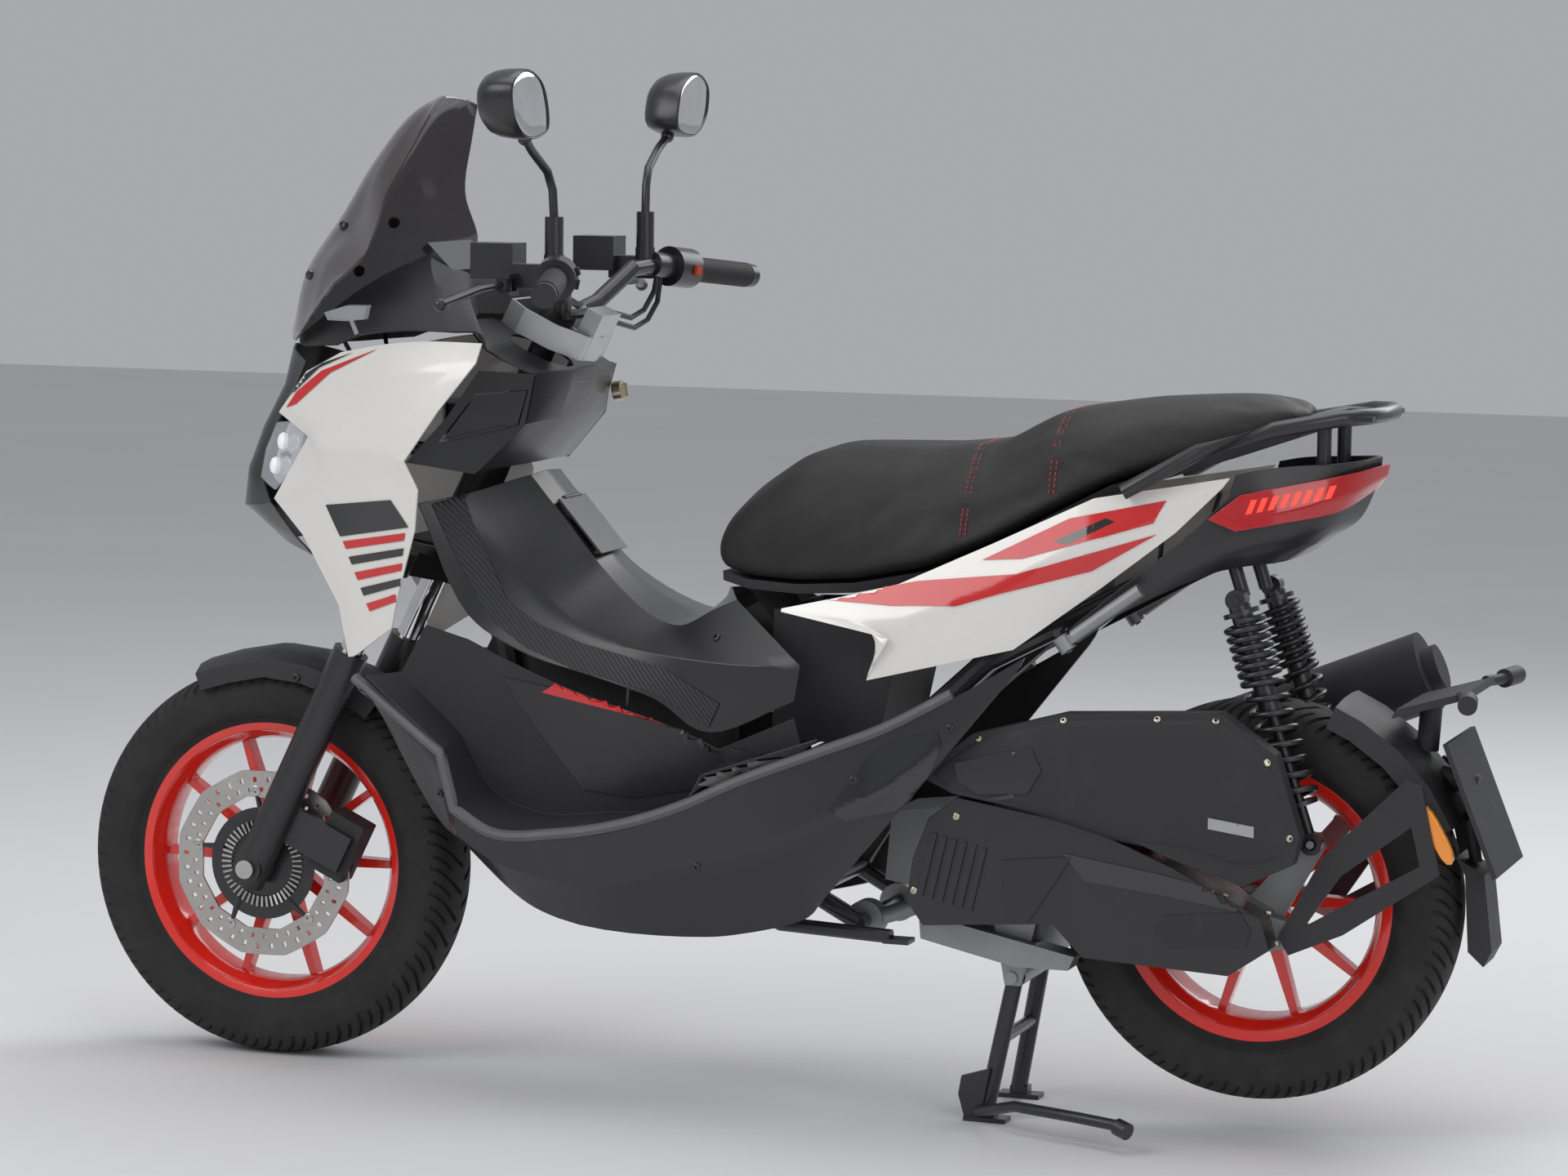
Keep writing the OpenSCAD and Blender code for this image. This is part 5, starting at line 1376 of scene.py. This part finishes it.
class SCOOTER_OT_details(bpy.types.Operator):
    """Decals, inserts, trims, lamps and screws laid on the panels."""
    bl_idname = "scooter.details"
    bl_label = "Details"

    def execute(self, context):
        skins = {n: Skin(*shown(n)) for n in ("white_front_panels", "white_rear_panels")}
        for name, base, finish, lift, outlines in DECALS:
            lay(name, outlines, skins[base], "chassis", finish, lift=lift)
        dark = Skin(*shown("tunnel_panel", "footboard_panels", "lower_skirts"))
        for name, finish, thick, lift, bevel, outline in INSERTS:
            lay(name, [outline], dark, "chassis", finish, thick, lift,
                bevel=bevel)
        self.edge_strip()
        self.lamps()
        for name, body, finish, base, spots, radius, heading in SCREWS:
            screws_on(name, body, finish, Skin(*shown(*base)), spots, radius, heading=heading)
        return {"FINISHED"}

    def edge_strip(self):
        """The light strip along the top of the skirts."""
        line = spline(np.array([row[0] for row in SKIRT[:-1]]) * MM, 8, (1, 2))
        mesh = bmesh.new()
        for side in (LEFT, RIGHT):
            tube(mesh, [(x, (y + 0.003) * side, z + 0.006) for x, y, z in line], STRIP_RADIUS)
        bmesh.ops.recalc_face_normals(mesh, faces=mesh.faces)
        piece("floor_edge_strip", mesh, "chassis", "edge_strip")

    def lamps(self):
        """Reflector bowls and light units behind the lenses, and the amber reflectors."""
        rows = [[[x + 16, y * 0.93, z] for x, y, z in row] for row in LAMP]
        panel("lamp_bowls", rows, (-1, -0.5, 0), "chrome", wall=1.5)
        mesh = bmesh.new()
        for side in (LEFT, RIGHT):
            for x, y, z in LAMP_UNITS:
                place = pointing(Vector((x, y * side, z)) * MM, (-0.8, -0.55 * side, 0.1))
                lathe(mesh, LAMP_UNIT, place, 28)
        bmesh.ops.recalc_face_normals(mesh, faces=mesh.faces)
        piece("lamp_units", mesh, "chassis", "led_white")
        lay("tail_leds", TAIL_LEDS, Skin(*shown("tail_lens")), "chassis", "led_red",
            0.5, 0.3)
        plates("side_reflectors", "engine_unit", "amber_lens", REFLECTOR, (LEFT, RIGHT))


# ---------- stage, view and light ----------
FLOOR_HALF = 14.0
AIM = Vector((0.0, 0.0, 0.6))
# studio lamps: name, place, size, power
LAMPS = (
    ("key", (-2.6, -3.6, 3.8), 3.2, 95.0), ("fill", (3.4, -3.4, 2.2), 2.6, 34.0),
    ("top", (0.3, 0.4, 4.4), 3.6, 75.0), ("back", (1.5, 3.0, 2.8), 2.2, 45.0),
)
SKY, SKY_STRENGTH = (0.93, 0.95, 1.0, 1.0), 0.42
EYE = (1.9897, -5.8927, 1.3115)
EYE_TURN, EYE_DIP, EYE_ROLL = 18.538, 5.939, 0.746


class SCOOTER_OT_stage(bpy.types.Operator):
    """Pale floor, soft studio lights and the side view."""
    bl_idname = "scooter.stage"
    bl_label = "Stage"

    def execute(self, context):
        self.floor(context.scene)
        self.light(context.scene)
        self.view(context.scene)
        return {"FINISHED"}

    def floor(self, scene):
        """The flat ground."""
        steps = np.linspace(-FLOOR_HALF, FLOOR_HALF, 15)
        mesh = bmesh.new()
        weave(mesh, [[(x, y, 0.0) for y in steps] for x in steps])
        bmesh.ops.recalc_face_normals(mesh, faces=mesh.faces)
        data = bpy.data.meshes.new("studio_ground")
        mesh.to_mesh(data)
        mesh.free()
        data.polygons.foreach_set("use_smooth", [True] * len(data.polygons))
        data.materials.append(FINISHES["studio_floor"])
        ground = bpy.data.objects.new("studio_ground", data)
        scene.collection.objects.link(ground)

    def light(self, scene):
        """Area lamps round the scooter and a pale sky."""
        for name, place, size, power in LAMPS:
            lamp = bpy.data.lights.new(name, "AREA")
            lamp.size, lamp.energy = size, power
            holder = bpy.data.objects.new(name, lamp)
            holder.location = place
            holder.rotation_euler = (AIM - Vector(place)).to_track_quat("-Z", "Y").to_euler()
            scene.collection.objects.link(holder)
        world = bpy.data.worlds.new("studio")
        world.use_nodes = True
        backing = world.node_tree.nodes["Background"]
        backing.inputs["Color"].default_value = SKY
        backing.inputs["Strength"].default_value = SKY_STRENGTH
        scene.world = world
        scene.view_settings.view_transform = "Standard"

    def view(self, scene):
        """The camera at the left front, rolled a little."""
        turn, dip, roll = (math.radians(a) for a in (EYE_TURN, EYE_DIP, EYE_ROLL))
        ahead = Vector((-math.sin(turn) * math.cos(dip), math.cos(turn) * math.cos(dip),
                        -math.sin(dip)))
        across = ahead.cross(Vector((0, 0, 1))).normalized()
        up = across.cross(ahead)
        right = across * math.cos(roll) + up * math.sin(roll)
        up = up * math.cos(roll) - across * math.sin(roll)
        camera = bpy.data.cameras.new("side_view")
        camera.lens, camera.sensor_width = scene.scooter_sizes.lens, 36.0
        eye = bpy.data.objects.new("side_view", camera)
        eye.matrix_world = Matrix((right, up, -ahead)).transposed().to_4x4()
        eye.location = EYE
        scene.collection.objects.link(eye)
        scene.camera = eye


# ---------- sidebar and registration ----------
STEPS = (
    SCOOTER_OT_finishes, SCOOTER_OT_stage, SCOOTER_OT_panels, SCOOTER_OT_tyres,
    SCOOTER_OT_springs, SCOOTER_OT_seat, SCOOTER_OT_engine, SCOOTER_OT_disc,
    SCOOTER_OT_mirrors, SCOOTER_OT_details,
)


class VIEW3D_PT_scooter(bpy.types.Panel):
    """Buttons for every piece of the scooter."""
    bl_label = "Scooter"
    bl_idname = "VIEW3D_PT_scooter"
    bl_space_type = "VIEW_3D"
    bl_region_type = "UI"
    bl_category = "Scooter"

    def draw(self, context):
        for step in STEPS:
            self.layout.operator(step.bl_idname)
        for group in (context.scene.scooter_sizes, context.scene.scooter_colours):
            box = self.layout.box()
            for name in group.bl_rna.properties.keys():
                if name not in ("rna_type", "name"):
                    box.prop(group, name)


CLASSES = (ScooterSizes, ScooterColours, *STEPS, VIEW3D_PT_scooter)


def register():
    for part in CLASSES:
        bpy.utils.register_class(part)
    bpy.types.Scene.scooter_sizes = bpy.props.PointerProperty(type=ScooterSizes)
    bpy.types.Scene.scooter_colours = bpy.props.PointerProperty(type=ScooterColours)


def unregister():
    del bpy.types.Scene.scooter_colours
    del bpy.types.Scene.scooter_sizes
    for part in reversed(CLASSES):
        bpy.utils.unregister_class(part)


def main():
    """Registers the add-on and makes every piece."""
    register()
    for step in STEPS:
        group, name = step.bl_idname.split(".")
        getattr(getattr(bpy.ops, group), name)()


if __name__ == "__main__":
    main()
